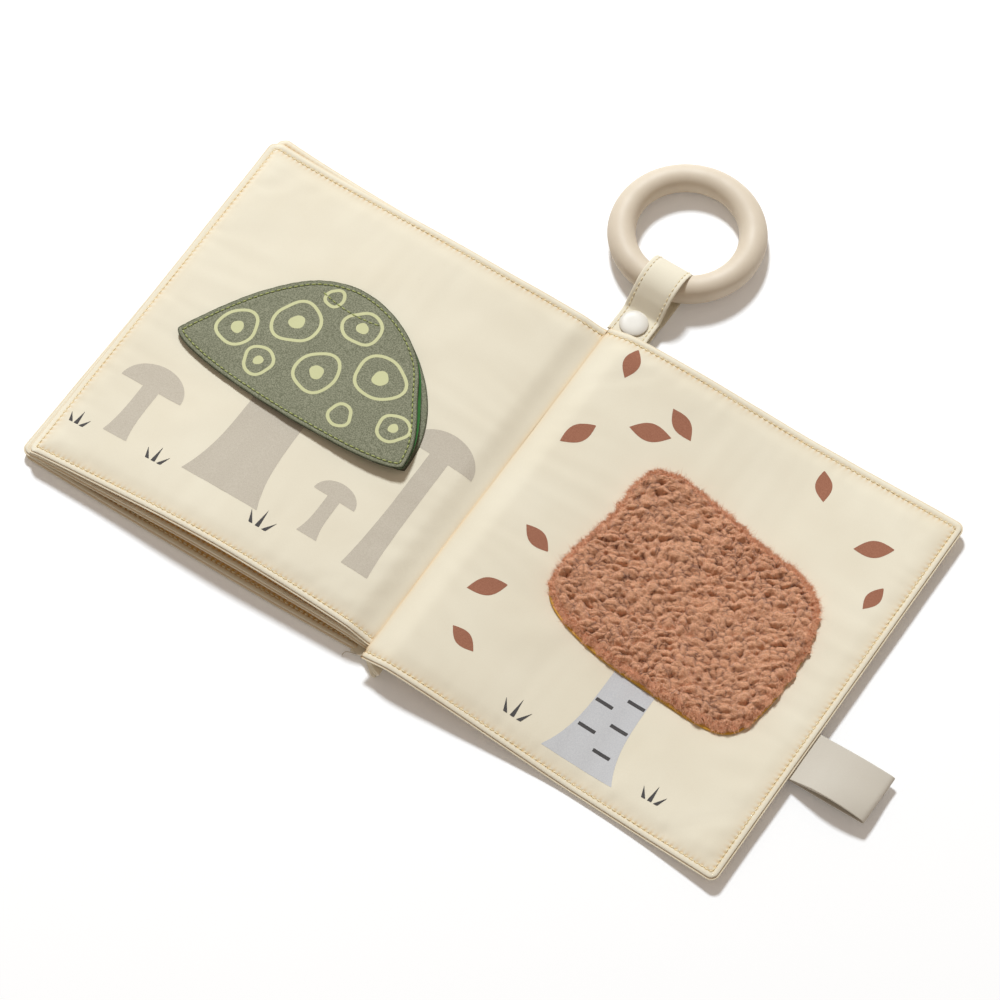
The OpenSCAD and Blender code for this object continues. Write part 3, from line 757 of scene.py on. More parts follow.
def little_cap(x, y, r):
    a = np.linspace(0, np.pi, 40)
    return np.stack([x + r * np.cos(a), y + 0.8 * r * np.sin(a)], -1)


def tuft(x, y, h):
    return [np.array([(x + k * h - 1, y), (x + k * h + 1, y), (x + 2 * k * h, y + h * (1 - abs(k)))])
            for k in (-0.35, 0, 0.35)]


TOADSTOOLS = [(-141, -66, 26, 15, 8), (-22, -64, 62, 16, 9), (-47, -62, 20, 10, 6)]
left_shapes = [stalk(FLAP_X, -10, 26, 54, 6)]
for x, foot, tall, r, w in TOADSTOOLS:
    left_shapes += [stalk(x, foot + tall, w, tall, 2), little_cap(x, foot + tall, r)]
print_toadstools = print_object("toadstool_print", left_shapes, page_leaf.height, "root",
                                ["print_toadstools"])
LEFT_TUFTS = ((-120, -68, 8), (-66, -70, 9), (-158, -70, 7))
print_grass = print_object("grass_print", [b for g in LEFT_TUFTS for b in tuft(*g)],
                           page_leaf.height, "root", ["print_grass_left"])


# %% Right page print
def small_leaf(x, y, length, angle, n=20):
    t = np.linspace(0, 1, n)
    side = 0.24 * length * np.sin(np.pi * t)
    flat = np.concatenate([np.stack([length * t, side], -1), np.stack([length * t, -side], -1)[::-1][1:-1]])
    c, s = math.cos(math.radians(angle)), math.sin(math.radians(angle))
    return flat @ np.array([[c, s], [-s, c]]) + (x, y)


LEAVES = [(14, 34, 17, 60), (34, 56, 18, 20), (20, 74, 15, 100), (58, 66, 16, 150), (24, -6, 15, -20),
          (20, -44, 17, 40), (38, -66, 14, 160), (140, 62, 17, 30), (118, 74, 15, 120), (158, 40, 13, 80)]
PATCH_X, PATCH_Y, TRUNK_W = 99.0, 3.0, 20.0
print_trunk = print_object("trunk_print", [stalk(PATCH_X, PATCH_Y - 38, TRUNK_W, 48, 7)], right_leaf.height,
                           "back_cover", ["print_trunk"])
marks = []
for i in range(5):
    mx, my = PATCH_X + (1 if i % 2 == 0 else -1) * TRUNK_W * 0.28, PATCH_Y - 50 - 6.5 * i
    marks.append([(mx - 4, my - 0.8), (mx + 4, my - 0.8), (mx + 4, my + 0.8), (mx - 4, my + 0.8)])
for g in ((66, -80, 9), (132, -80, 8)):
    marks += tuft(*g)
print_marks = print_object("bark_print", marks, right_leaf.height, "back_cover",
                           ["print_bark_marks"], lift=0.09)
print_leaves = print_object("leaf_print", [small_leaf(*leaf) for leaf in LEAVES], right_leaf.height, "back_cover",
                            ["print_leaves"])


# %% Motifs on the flap
def band(path, width):
    """Outline of a line of the given width along a closed path, as an outer and an inner edge."""
    n = normals_of(np.concatenate([path[-1:], path, path[:1]]))[1:-1]
    return path + n * width / 2, path - n * width / 2


def wobbly_ring(x, y, r, seed, n=64):
    a = np.linspace(0, 2 * np.pi, n, endpoint=False)
    rng = np.random.default_rng(seed)
    k = rng.uniform(0, 6.28, 3)
    rr = r * (1 + 0.06 * np.sin(2 * a + k[0]) + 0.05 * np.sin(3 * a + k[1]) + 0.02 * np.sin(5 * a + k[2]))
    return np.stack([x + rr * np.cos(a), y + rr * np.sin(a)], -1)


def ring_band(path, width, surface, lift=0.05):
    outer_edge, inner_edge = band(path, width)
    flat = np.concatenate([outer_edge, path, inner_edge])
    n = len(path)
    k = np.arange(n)
    faces = [f for a in (0, n) for f in np.stack([a + k, a + (k + 1) % n, a + n + (k + 1) % n, a + n + k], -1).tolist()]
    return np.column_stack([flat, surface(flat[:, 0], flat[:, 1]) + lift]), faces


SPOTS = [(-127, 3, 8.5), (-107, 18, 10), (-82, 30, 8), (-62, 14, 10.5), (-86, 2, 9.5), (-110, -6, 6.5),
         (-44, -3, 6.5), (-66, -10, 5.0), (-100, 36, 4.0)]
spot_parts = []
for k, (x, y, r) in enumerate(SPOTS):
    spot_parts.append(ring_band(wobbly_ring(x, y, r, 100 + k), 1.45, flap_height))
    if r > 6:
        spot_parts.append(printed(wobbly_ring(x, y, r * 0.34, 200 + k, 28), flap_height))
flap_motifs = new_object("flap_print", *joined(spot_parts))
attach(flap_motifs, "root")
print("motifs:", len(SPOTS))

# %% [markdown]
# ## Fleece patch
# The patch is curly fleece: lumps of wool of all sizes that crowd and overlap each other, so that each
# casts a short curved shadow on the next. The highest of many small domes, at random places and heights,
# gives just that. The grid is a square bent into the patch's outline, so that its cells stay even right
# up to the rim. Thousands of single fibres then make the surface and above all its outline fuzzy.

# %% Patch outline
PATCH_POINTS = np.array([(-50, -30), (-53.5, -21), (-52, -4), (-48.5, 18), (-48, 34), (-43, 43), (-31, 45.3), (-10, 43),
                         (10, 38.8), (28, 36.3), (40, 30.5), (48, 20), (51.3, 4), (51.3, -16), (48.5, -32), (42, -40.5),
                         (28, -42.8), (5, -41.5), (-20, -40), (-39, -36)], float)


def closed_curve(p, n):
    """Smooth closed line through points."""
    a, b, c, d = np.roll(p, 1, 0), p, np.roll(p, -1, 0), np.roll(p, -2, 0)
    t = (np.arange(n) / n)[None, :, None]
    a, b, c, d = (q[:, None] for q in (a, b, c, d))
    curve = 0.5 * (2 * b + (c - a) * t + (2 * a - 5 * b + 4 * c - d) * t**2 + (3 * b - a - 3 * c + d) * t**3)
    return curve.reshape(-1, 2)


patch_rim = closed_curve(PATCH_POINTS, 20)
rim_angle = np.arctan2(patch_rim[:, 1], patch_rim[:, 0])
order = np.argsort(rim_angle)


def patch_grid(size, count):
    """A square grid bent into the patch's outline; also how far each point is from the rim."""
    s = np.linspace(-1, 1, count)
    u, v = np.meshgrid(s, s, indexing="ij")
    x, y = u * np.sqrt(1 - v * v / 2), v * np.sqrt(1 - u * u / 2)
    share = np.hypot(x, y)
    angle = np.arctan2(y, x)
    radius = np.interp(angle, rim_angle[order], np.hypot(*patch_rim[order].T), period=2 * np.pi) * size
    return PATCH_X + share * radius * np.cos(angle), PATCH_Y + share * radius * np.sin(angle), (1 - share) * radius


# %% Patch lining
x, y, e = patch_grid(0.99, 60)
half = lip(e, 0.3, 0.6)
base = right_leaf.height(x, y) + 0.2 + 0.3
x, y = x + 0.6, y - 1.7
patch_lining = new_object("patch_lining_cloth", *two_sheets(np.stack([x, y, base + half], -1),
                                                            np.stack([x, y, base - half], -1)))
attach(patch_lining, "back_cover")
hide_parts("patch_lining")


# %% Curly fleece
def domes(x, y, size, seed, reach=0.95, steps=0.55):
    """Height of the highest of many domes, and how near the second one comes to it."""
    rng = np.random.default_rng(seed)
    jitter = rng.uniform(0.05, 0.95, (64, 64, 2))
    level, stretch = rng.uniform(-steps, steps, (64, 64)), rng.uniform(-0.45, 0.45, (64, 64))
    u, v = x / size, y / size
    i, j = np.floor(u).astype(int), np.floor(v).astype(int)
    best, second = np.full(x.shape, -9.0), np.full(x.shape, -9.0)
    for di in (-1, 0, 1):
        for dj in (-1, 0, 1):
            a, b = (i + di) % 64, (j + dj) % 64
            du, dv = i + di + jitter[a, b, 0] - u, j + dj + jitter[a, b, 1] - v
            du, dv = du * (1 + stretch[a, b]), dv * (1 - stretch[a, b])
            height = 1 - (du * du + dv * dv) / reach**2 + level[a, b]
            second = np.where(height > best, best, np.maximum(second, height))
            best = np.maximum(best, height)
    return best, best - second


FLEECE_GRID = 214
x, y, e = patch_grid(1.0, FLEECE_GRID)
wx = x + 0.7 * soft_noise(x, y, 3.3, 91) + 0.3 * soft_noise(x, y, 1.3, 92)
wy = y + 0.7 * soft_noise(x, y, 3.3, 93) + 0.3 * soft_noise(x, y, 1.3, 94)
large, large_gap = domes(0.87 * wx + 0.5 * wy, (0.87 * wy - 0.5 * wx) * 1.25, 3.1, 95)
small, small_gap = domes(0.87 * wx + 0.5 * wy + 9, (0.87 * wy - 0.5 * wx) * 1.15, 1.5, 96)
pile = 3.4 * np.sqrt(np.clip(1 - (1 - np.clip(e / 5.5, 0, 1)) ** 2, 0, 1))
curl = 1.9 * large + 0.6 * small + 0.5 * soft_noise(x, y, 10, 97) + 0.3 * soft_noise(x, y, 0.9, 98) - 1.6
rim_fade = ease(e / 2.2)
base = right_leaf.height(x, y) + 0.85
top = np.stack([x, y, base + np.maximum(pile + curl * rim_fade, 0.25 * rim_fade)], -1)
out = (1.1 * soft_noise(x, y, 2.9, 99) + 0.5 * soft_noise(x, y, 1.1, 90)) * (1 - ease(e / 4))
angle = np.arctan2(y - PATCH_Y, x - PATCH_X)
top[..., 0] += out * np.cos(angle)
top[..., 1] += out * np.sin(angle)
bottom = top.copy()
bottom[..., 2] = base + 0.1 * rim_fade
points, faces = two_sheets(top, bottom)
fleece = new_object("fleece", points, faces)
# Painted shade: the creases between the lumps are darker, more so in patches, and not at the rim.
patchy = ease(1.1 * soft_noise(x, y, 3.1, 89) + 0.6)
shade = np.clip((0.35 + 0.65 * patchy) * np.exp(-large_gap / 0.16) + 0.3 * np.exp(-small_gap / 0.14), 0, 1) * rim_fade
add_mask(fleece, "crease", np.concatenate([shade.ravel(), np.zeros(len(points) - shade.size)]))
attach(fleece, "back_cover")
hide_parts("patch_fleece")
print("fleece:", len(fleece.data.polygons), "faces")


# %% Loose fibres
def fibres(roots, outward, length, count, seed):
    """Thin curved blades of two triangles, from random roots."""
    rng = np.random.default_rng(seed)
    pick = rng.integers(0, len(roots), count)
    root = roots[pick] + rng.uniform(-0.25, 0.25, (count, 3)) * (1, 1, 0.3)
    lean = outward[pick] + rng.normal(0, 0.9, (count, 3))
    lean /= np.linalg.norm(lean, axis=1, keepdims=True)
    bend = rng.normal(0, 0.45, (count, 3)) * (1, 1, 0.5)
    long = rng.uniform(0.5, 1, (count, 1)) * length
    wide = np.cross(lean, rng.normal(0, 1, (count, 3)))
    wide *= 0.08 / np.linalg.norm(wide, axis=1, keepdims=True)
    middle, tip = root + lean * long * 0.55, root + (lean + bend) * long
    points = np.stack([root - wide, root + wide, middle + wide, middle - wide, tip], 1).reshape(-1, 3)
    k = 5 * np.arange(count)[:, None]
    return points, (k + np.array([0, 1, 2, 3])).tolist() + (k + np.array([3, 2, 4])).tolist()


near_rim = (e > 0.15) & (e < 2.6)
outward = np.stack([np.cos(angle), np.sin(angle), 0.55 + 0 * angle], -1)
upward = np.stack([0 * angle, 0 * angle, 1 + 0 * angle], -1)
body = e > 2.0
fleece_fibres = new_object("fleece_fibres", *joined([
    fibres(top[near_rim], outward[near_rim], 2.3, 15000, 131), fibres(top[body], upward[body], 0.75, 20000, 132)]))
fleece_fibres.visible_shadow = False
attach(fleece_fibres, "back_cover")
print("fibres:", len(fleece_fibres.data.polygons) // 2)

# %% [markdown]
# ## Strap and snap
# The strap is a doubled ribbon. It leaves the spine, runs on the table under the ring, goes over the
# ring's section in a loop, and comes back to the snap, whose caps hold both layers together.

# %% Strap
RING_R, TUBE_R, RING_X, TUBE_LIFT = 28.0, 6.0, 2.6, 7.7
STRAP_W, STRAP_X, STRAP_T = 18.0, 8.0, 0.9
SNAP_Y, CAP_D, CAP_T, SNAP_H = 99.5, 12.4, 1.4, 3.0
HOLD_Y = SNAP_Y + 22.8
LOWER_Z = CAP_T + STRAP_T / 2
UPPER_Z = LOWER_Z + STRAP_T + SNAP_H
RING_Y = HOLD_Y + math.sqrt(RING_R**2 - (STRAP_X - RING_X) ** 2)
FOLD_Y, NEAR_Y, CROWN_Z = 131.9, 112.0, 15.2
reach_y, reach_z = (FOLD_Y - NEAR_Y) / 2 + STRAP_T / 2, CROWN_Z - TUBE_LIFT + STRAP_T / 2
middle_y = (FOLD_Y + NEAR_Y) / 2
flat = CAP_D / 2 + 0.4
arc = [(middle_y + reach_y * math.cos(math.radians(a)), TUBE_LIFT + reach_z * math.sin(math.radians(a)))
       for a in range(-36, 135, 5)]
strap_path = ([(SPINE_END + 0.05, LOWER_Z + 0.3), (SNAP_Y - flat, LOWER_Z), (SNAP_Y + flat, LOWER_Z),
               (SNAP_Y + flat + 3, STRAP_T / 2), (middle_y + reach_y / 2, STRAP_T / 2)] + arc
              + [(middle_y - reach_y, TUBE_LIFT + 0.42 * reach_z), (SNAP_Y + flat, UPPER_Z), (92.8, UPPER_Z)])
strap_path, strap_run = spaced(strap_path, 0.6)
strap_path = smoothed(strap_path, 4)
strap_across = edge_lines(STRAP_W, 1.0)


def strap_place(p, q, c):
    edge = (c - STRAP_W / 2) / (STRAP_W / 2)
    wave = 0.25 * soft_noise(p, q, 7, 111) * np.abs(edge) * np.sign(edge)
    return STRAP_X - STRAP_W / 2 + c + wave, p, q


def strap_dent(run, across):
    e = np.minimum(across, STRAP_W - across)
    return 0.16 * np.exp(-(((e - 2.0) / 0.45) ** 2))


outer_side, inner_side = ribbon(strap_path, strap_run, strap_across, STRAP_T, strap_place, strap_dent)
strap = new_object("strap_cloth", *two_sheets(outer_side[:, ::-1], inner_side[:, ::-1]))
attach(strap, "root")
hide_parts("strap")
print("strap is", round(strap_run[-1]), "mm long when flat")


# %% Strap stitches
def strap_row(inset, side):
    """Stitches along one edge of the strap, on its outer face."""
    normal = normals_of(strap_path)
    x = STRAP_X + side * (STRAP_W / 2 - inset)
    count = int(strap_run[-1] / 2.3)
    parts = []
    for k in range(count):
        at = (k + 0.5) * strap_run[-1] / count + STATIONS * 2.3
        p, q = np.interp(at, strap_run, strap_path[:, 0]), np.interp(at, strap_run, strap_path[:, 1])
        n = normal[min(int(at[2] / strap_run[-1] * len(normal)), len(normal) - 1)]
        out = -(STRAP_T / 2 - 0.12 + 0.14 * BULGE)
        a = np.linspace(0, 2 * np.pi, SIDES, endpoint=False)
        ring_x = x + 0.24 * BULGE[1:-1, None] * np.cos(a)
        grow = 0.2 * BULGE[1:-1, None] * np.sin(a)
        ring_p = (p + n[0] * out)[1:-1, None] - n[0] * grow
        ring_q = (q + n[1] * out)[1:-1, None] - n[1] * grow
        rings = np.stack([ring_x, ring_p, ring_q], -1).reshape(-1, 3)
        tips = np.stack([[x, x], (p + n[0] * out)[[0, -1]], (q + n[1] * out)[[0, -1]]], -1)
        r = len(STATIONS) - 2
        faces = []
        for s in range(SIDES):
            t = (s + 1) % SIDES
            faces += [(m * SIDES + s, (m + 1) * SIDES + s, (m + 1) * SIDES + t, m * SIDES + t) for m in range(r - 1)]
            faces += [(r * SIDES, s, t), (r * SIDES + 1, (r - 1) * SIDES + t, (r - 1) * SIDES + s)]
        parts.append((np.concatenate([rings, tips]), faces))
    return joined(parts)


strap_stitches = new_object("stitches_strap", *joined([strap_row(2.0, 1), strap_row(2.0, -1)]))
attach(strap_stitches, "root")
print("strap stitches:", len(strap_stitches.data.polygons) // 30)


# %% Snap caps
def lathe(profile, centre, count=96, axis_down=False):
    """A turned piece from (radius, height) points that start and end on the axis."""
    profile = np.array(profile, float)
    a = np.linspace(0, 2 * np.pi, count, endpoint=False)
    body = profile[1:-1]
    sign = -1 if axis_down else 1
    rings = np.stack([body[:, 0, None] * np.cos(a), body[:, 0, None] * np.sin(a),
                      sign * body[:, 1, None] + 0 * a], -1).reshape(-1, 3)
    ends = np.array([(0, 0, sign * profile[0, 1]), (0, 0, sign * profile[-1, 1])])
    points = np.concatenate([rings, ends]) + centre
    faces, last = [], len(body) - 1
    for s in range(count):
        t = (s + 1) % count
        faces += [(r * count + s, r * count + t, (r + 1) * count + t, (r + 1) * count + s) for r in range(last)]
        faces += [(len(rings), t, s), (len(rings) + 1, last * count + s, last * count + t)]
    return points, [f[::sign] for f in faces]


rim_curve = [(CAP_D / 2 - 0.35 + 0.35 * math.sin(a), 0.35 - 0.35 * math.cos(a)) for a in np.linspace(0, np.pi / 2, 6)]
dome_curve = [(CAP_D / 2 * math.cos(a) ** 0.55, 0.4 + (CAP_T - 0.4) * math.sin(a)) for a in np.linspace(0.15, 1.5, 18)]
cap_profile = [(0, -1.2), (1.2, -1.2), (1.2, 0.0)] + rim_curve + dome_curve + [(0, CAP_T)]
for name, node, z, down in (("snap_cap_top_cap", "snap_cap_top", UPPER_Z + STRAP_T / 2 + 0.05, False),
                            ("snap_cap_bottom_cap", "snap_cap_bottom", CAP_T - 0.05, True)):
    cap = new_object(name, *lathe(cap_profile, (STRAP_X - 0.4, SNAP_Y + 0.9, z), axis_down=down))
    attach(cap, "root")
    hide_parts(node)
    print(name, len(cap.data.polygons), "faces")

# %% [markdown]
# ## Teething ring
# The ring is moulded silicone: a plain round section, with a thin raised line all round where the two
# halves of its mould met. A torus made in code can have that line in its section.

# %% Ring
TURNS, ROUND = 200, 72
a, b = np.meshgrid(np.linspace(0, 2 * np.pi, TURNS, endpoint=False), np.linspace(0, 2 * np.pi, ROUND, endpoint=False),
                   indexing="ij")
from_seam = np.minimum(np.abs(np.sin(b / 2)), np.abs(np.cos(b / 2))) * 2
section = TUBE_R - 0.02 + 0.09 * np.exp(-((from_seam / 0.05) ** 2))
rr = RING_R + section * np.cos(b)
tilt = math.asin((TUBE_LIFT - TUBE_R) / (2 * RING_R))
flat_y, flat_z = rr * np.sin(a), section * np.sin(b)
ring_points = np.stack([RING_X + rr * np.cos(a), RING_Y + flat_y * math.cos(tilt) + flat_z * math.sin(tilt),
                        (TUBE_LIFT + TUBE_R) / 2 - flat_y * math.sin(tilt) + flat_z * math.cos(tilt)], -1)
index = np.arange(TURNS * ROUND).reshape(TURNS, ROUND)
index = np.concatenate([index, index[:1]])
index = np.concatenate([index, index[:, :1]], 1)
ring = new_object("ring_silicone", ring_points.reshape(-1, 3), grid_faces(index))
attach(ring, "ring")
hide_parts("ring")
print("ring:", 2 * (RING_R + TUBE_R), "mm across")

# %% [markdown]
# ## Label
# The label is a satin ribbon folded double and caught in the side seam. It is left bare. Its two layers
# part a little, and its free end is a soft hairpin.

# %% Label
LABEL_L, LABEL_W, LABEL_Y, LABEL_T, LABEL_FOLD = 36.5, 24.0, 29.0, 0.4, 1.6
x1, z1, f = RIGHT_X0 + LEAF_W + 3, float(right_mid(np.array([LEAF_W]))[0]) - 1.0, LABEL_FOLD / 2
label_path = np.array([(x1 - 3, z1 - 0.25), (x1 + 5, z1 - 0.45), (x1 + LABEL_L / 2, z1 - f), (x1 + LABEL_L - 2, z1 - f),
                       (x1 + LABEL_L - 0.9, z1 - 0.6 * f), (x1 + LABEL_L - 0.5, z1), (x1 + LABEL_L - 0.9, z1 + 0.6 * f),
                       (x1 + LABEL_L - 2, z1 + f), (x1 + LABEL_L / 2, z1 + f), (x1 + 5, z1 + 0.45),
                       (x1 - 3, z1 + 0.25)])
label_path, label_run = spaced(label_path, 0.5)
label_path = smoothed(label_path, 3)
label_across = edge_lines(LABEL_W, 1.2)


def label_place(p, q, c):
    out = np.clip((p - x1) / LABEL_L, 0, 1)
    wave = 0.5 * out * (1 + np.sin(c / LABEL_W * 5.2 + 0.6)) + 0.3 * out * soft_noise(p, c, 12, 121)
    upper = np.clip((q - z1) / f, 0, 1)
    part = upper * np.sin(np.pi * np.clip(out * 1.02, 0, 1)) ** 0.8 * (3.4 - 2.9 * c / LABEL_W)
    return p, -LABEL_Y - LABEL_W / 2 + c, q + wave + part


outer_side, inner_side = ribbon(label_path, label_run, label_across, LABEL_T, label_place)
label = new_object("label_ribbon", *two_sheets(outer_side[:, ::-1], inner_side[:, ::-1]))
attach(label, "back_cover")
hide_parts("care_label")
print("label ribbon is", round(label_run[-1]), "mm long when flat")

# %% [markdown]
# ## Finishes
# Every cloth here is woven, so the weave is one node group with its own inputs, placed in each
# material. A second group gives soft uneven patches, and a third the heathered speckle of the prints.
# The groups put out numbers only; the shader stays in the material.


# %% Node groups
def node_group(name, inputs, outputs):
    tree = bpy.data.node_groups.new(name, "ShaderNodeTree")
    for label_, value in inputs:
        tree.interface.new_socket(label_, in_out="INPUT", socket_type="NodeSocketFloat").default_value = value
    for label_ in outputs:
        tree.interface.new_socket(label_, in_out="OUTPUT", socket_type="NodeSocketFloat")
    return tree, tree.nodes.new("NodeGroupInput"), tree.nodes.new("NodeGroupOutput")


def node(tree, kind, settings=None, **links):
    """A node with its settings, its inputs set to values or linked from sockets."""
    made = tree.nodes.new(kind)
    for key, value in (settings or {}).items():
        setattr(made, key, value)
    for key, value in links.items():
        by_number = key[0] == "i" and key[1:].isdigit()
        socket = made.inputs[int(key[1:]) if by_number else key.replace("_", " ")]
        if isinstance(value, bpy.types.NodeSocket):
            tree.links.new(value, socket)
        else:
            socket.default_value = value
    return made


def maths(tree, operation, a, b=0.0):
    return node(tree, "ShaderNodeMath", {"operation": operation}, i0=a, i1=b).outputs[0]


weave, given, result = node_group("woven cloth", [("Thread mm", 0.4), ("Slub", 0.3)], ["Height", "Fleck"])
place = node(weave, "ShaderNodeTexCoord").outputs["Object"]
scale = maths(weave, "DIVIDE", 314.16, given.outputs["Thread mm"])
bands = []
for direction in ("X", "Y"):
    wave = node(weave, "ShaderNodeTexWave", {"wave_type": "BANDS", "bands_direction": direction}, Vector=place,
                Scale=scale, Distortion=1.5, Detail=1.0, Detail_Scale=0.6)
    bands.append(wave.outputs["Fac"])
woven = maths(weave, "MULTIPLY", bands[0], bands[1])
speck = node(weave, "ShaderNodeTexNoise", None, Vector=place, Scale=1600.0, Detail=2.0).outputs["Fac"]
weave.links.new(maths(weave, "ADD", woven, maths(weave, "MULTIPLY", speck, given.outputs["Slub"])),
                result.inputs["Height"])
weave.links.new(speck, result.inputs["Fleck"])

mottle, given, result = node_group("uneven patches", [("Patch mm", 30.0), ("Contrast", 1.0)], ["Mask"])
place = node(mottle, "ShaderNodeTexCoord").outputs["Object"]
broad = node(mottle, "ShaderNodeTexNoise", None, Vector=place,
             Scale=maths(mottle, "DIVIDE", 1000.0, given.outputs["Patch mm"]),
             Detail=3.0).outputs["Fac"]
centred = maths(mottle, "MULTIPLY", maths(mottle, "SUBTRACT", broad, 0.5), given.outputs["Contrast"])
mottle.links.new(node(mottle, "ShaderNodeClamp", None, Value=maths(mottle, "ADD", centred, 0.5)).outputs[0],
                 result.inputs["Mask"])

heather, given, result = node_group("heather", [("Grain mm", 0.6), ("Contrast", 3.0)], ["Mask"])
place = node(heather, "ShaderNodeTexCoord").outputs["Object"]
grain = node(heather, "ShaderNodeTexNoise", None, Vector=place,
             Scale=maths(heather, "DIVIDE", 1000.0, given.outputs["Grain mm"]),
             Detail=3.0, Roughness=0.7).outputs["Fac"]
centred = maths(heather, "MULTIPLY", maths(heather, "SUBTRACT", grain, 0.5), given.outputs["Contrast"])
heather.links.new(node(heather, "ShaderNodeClamp", None, Value=maths(heather, "ADD", centred, 0.5)).outputs[0],
                  result.inputs["Mask"])
print("node groups:", [g.name for g in bpy.data.node_groups])


# %% Cloth materials
def colour(r, g, b):
    """A colour from its values on a screen, 0 to 255."""
    return tuple(((v / 255 + 0.055) / 1.055) ** 2.4 if v > 10 else v / 255 / 12.92 for v in (r, g, b)) + (1.0,)


def mixed(tree, mask, first, other):
    made = tree.nodes.new("ShaderNodeMix")
    made.data_type = "RGBA"
    for socket, value in ((made.inputs[0], mask), (made.inputs[6], first), (made.inputs[7], other)):
        if isinstance(value, bpy.types.NodeSocket):
            tree.links.new(value, socket)
        else:
            socket.default_value = value
    return made.outputs[2]


def placed(tree, group, **values):
    made = tree.nodes.new("ShaderNodeGroup")
    made.node_tree = group
    for key, value in values.items():
        made.inputs[key.replace("_", " ")].default_value = value
    return made


def cloth_material(name, main, other, thread=0.4, grain=0.6, heathered=2.0, relief=0.12, sheen=0.15, rough=0.9,
                   patch=30.0, crease=None, share=0.5):
    """Woven cloth: two near colours in a heather and in broad patches, a weave in relief, and painted shade where the
    mesh's mask asks for it.
    """
    material = bpy.data.materials.new(name)
    material.use_nodes = True
    tree = material.node_tree
    shader = tree.nodes["Principled BSDF"]
    speckle = placed(tree, heather, Grain_mm=grain, Contrast=heathered).outputs["Mask"]
    patches = placed(tree, mottle, Patch_mm=patch, Contrast=2.0).outputs["Mask"]
    mask = maths(tree, "ADD", maths(tree, "MULTIPLY", speckle, share), maths(tree, "MULTIPLY", patches, 1 - share))
    shown = mixed(tree, mask, main, other)
    # Painted shade: the mesh's mask mixes the colour toward a darker one in seams, gaps, needle holes and creases.
    if crease is not None:
        shade_amount = node(tree, "ShaderNodeAttribute", {"attribute_name": "crease"}).outputs["Fac"]
        shown = mixed(tree, shade_amount, shown, crease)
    tree.links.new(shown, shader.inputs["Base Color"])
    if thread is None:
        relief_height, deep = placed(tree, heather, Grain_mm=0.7, Contrast=1.5).outputs["Mask"], 0.0007
    else:
        relief_height, deep = placed(tree, weave, Thread_mm=thread, Slub=0.5).outputs["Height"], 0.0003
    bump = node(tree, "ShaderNodeBump", None, Strength=relief, Distance=deep, Height=relief_height)
    tree.links.new(bump.outputs["Normal"], shader.inputs["Normal"])
    shader.inputs["Roughness"].default_value = rough
    shader.inputs["Specular IOR Level"].default_value = 0.2
    shader.inputs["Sheen Weight"].default_value = sheen
    return material


def dress(material, *objects):
    for obj in objects:
        obj.data.materials.clear()
        obj.data.materials.append(material)


# The last colour is painted shade for the seams, the gutter fold and the gaps between leaves.
cotton = cloth_material("cream cotton", colour(236, 228, 207), colour(228, 218, 195), grain=0.5, share=0.3, patch=34.0,
                        crease=colour(214, 166, 88))
# The last colour is painted shade in the needle holes.
thread = cloth_material("tan thread", colour(243, 228, 190), colour(234, 217, 176), thread=0.2, relief=0.3,
                        crease=colour(212, 184, 122))
# The last colour is painted shade along the flap's rounded rim.
green = cloth_material("printed green cotton", colour(106, 108, 86), colour(150, 150, 127), grain=0.55, heathered=6.0,
                       share=0.9, crease=colour(52, 58, 36))
green_line = cloth_material("pale green ink", colour(212, 212, 166), colour(200, 200, 152), grain=0.45)
# The last colour is painted shade in the needle holes.
green_thread = cloth_material("pale green thread", colour(176, 184, 118), colour(160, 168, 100), thread=0.2,
                              crease=colour(84, 92, 58))
velvet = cloth_material("green velvet", colour(52, 122, 48), colour(34, 88, 30), sheen=0.4, relief=0.4)
mustard = cloth_material("mustard cotton", colour(232, 182, 70), colour(214, 164, 58))
# The last colour is painted shade in the creases between the curls.
wool = cloth_material("brown fleece", colour(252, 192, 150), colour(228, 162, 122), grain=0.6, heathered=5.0, share=0.7,
                      crease=colour(112, 62, 38), sheen=0.3, relief=1.0, thread=None, patch=18.0)
wool_tips = cloth_material("fleece fibres", colour(222, 170, 134), colour(202, 146, 110), grain=0.6, sheen=0.2,
                           relief=0.1)
# The ribbon is greyer than white satin: painted shade, for the shade the label lies in. The loose thread shares it.
ribbon_satin = cloth_material("white ribbon", colour(208, 201, 187), colour(202, 193, 178), thread=0.25, rough=0.6)
beige = cloth_material("beige ink", colour(205, 196, 180), colour(190, 180, 163), grain=0.5, heathered=4.0, share=0.8)
grey = cloth_material("grey ink", colour(208, 208, 208), colour(194, 194, 196), grain=0.5, heathered=4.0, share=0.8)
charcoal = cloth_material("charcoal ink", colour(70, 68, 68), colour(88, 85, 84), grain=0.5, heathered=4.0, share=0.8)
brown = cloth_material("brown ink", colour(168, 114, 90), colour(150, 98, 76), grain=0.5, heathered=4.0, share=0.8)

dress(cotton, cloth_front_cover, cloth_pages, cloth_back_cover, cloth_spine, strap)
dress(thread, strap_stitches, *cotton_stitches)
dress(green, flap, flap_base)
dress(green_line, flap_motifs)
dress(green_thread, flap_stitches)
dress(velvet, lining)
dress(mustard, patch_lining)
dress(wool, fleece)
dress(wool_tips, fleece_fibres)
dress(ribbon_satin, label, loose_thread)
dress(beige, print_toadstools)
dress(grey, print_trunk)
dress(charcoal, print_grass, print_marks)
dress(brown, print_leaves)


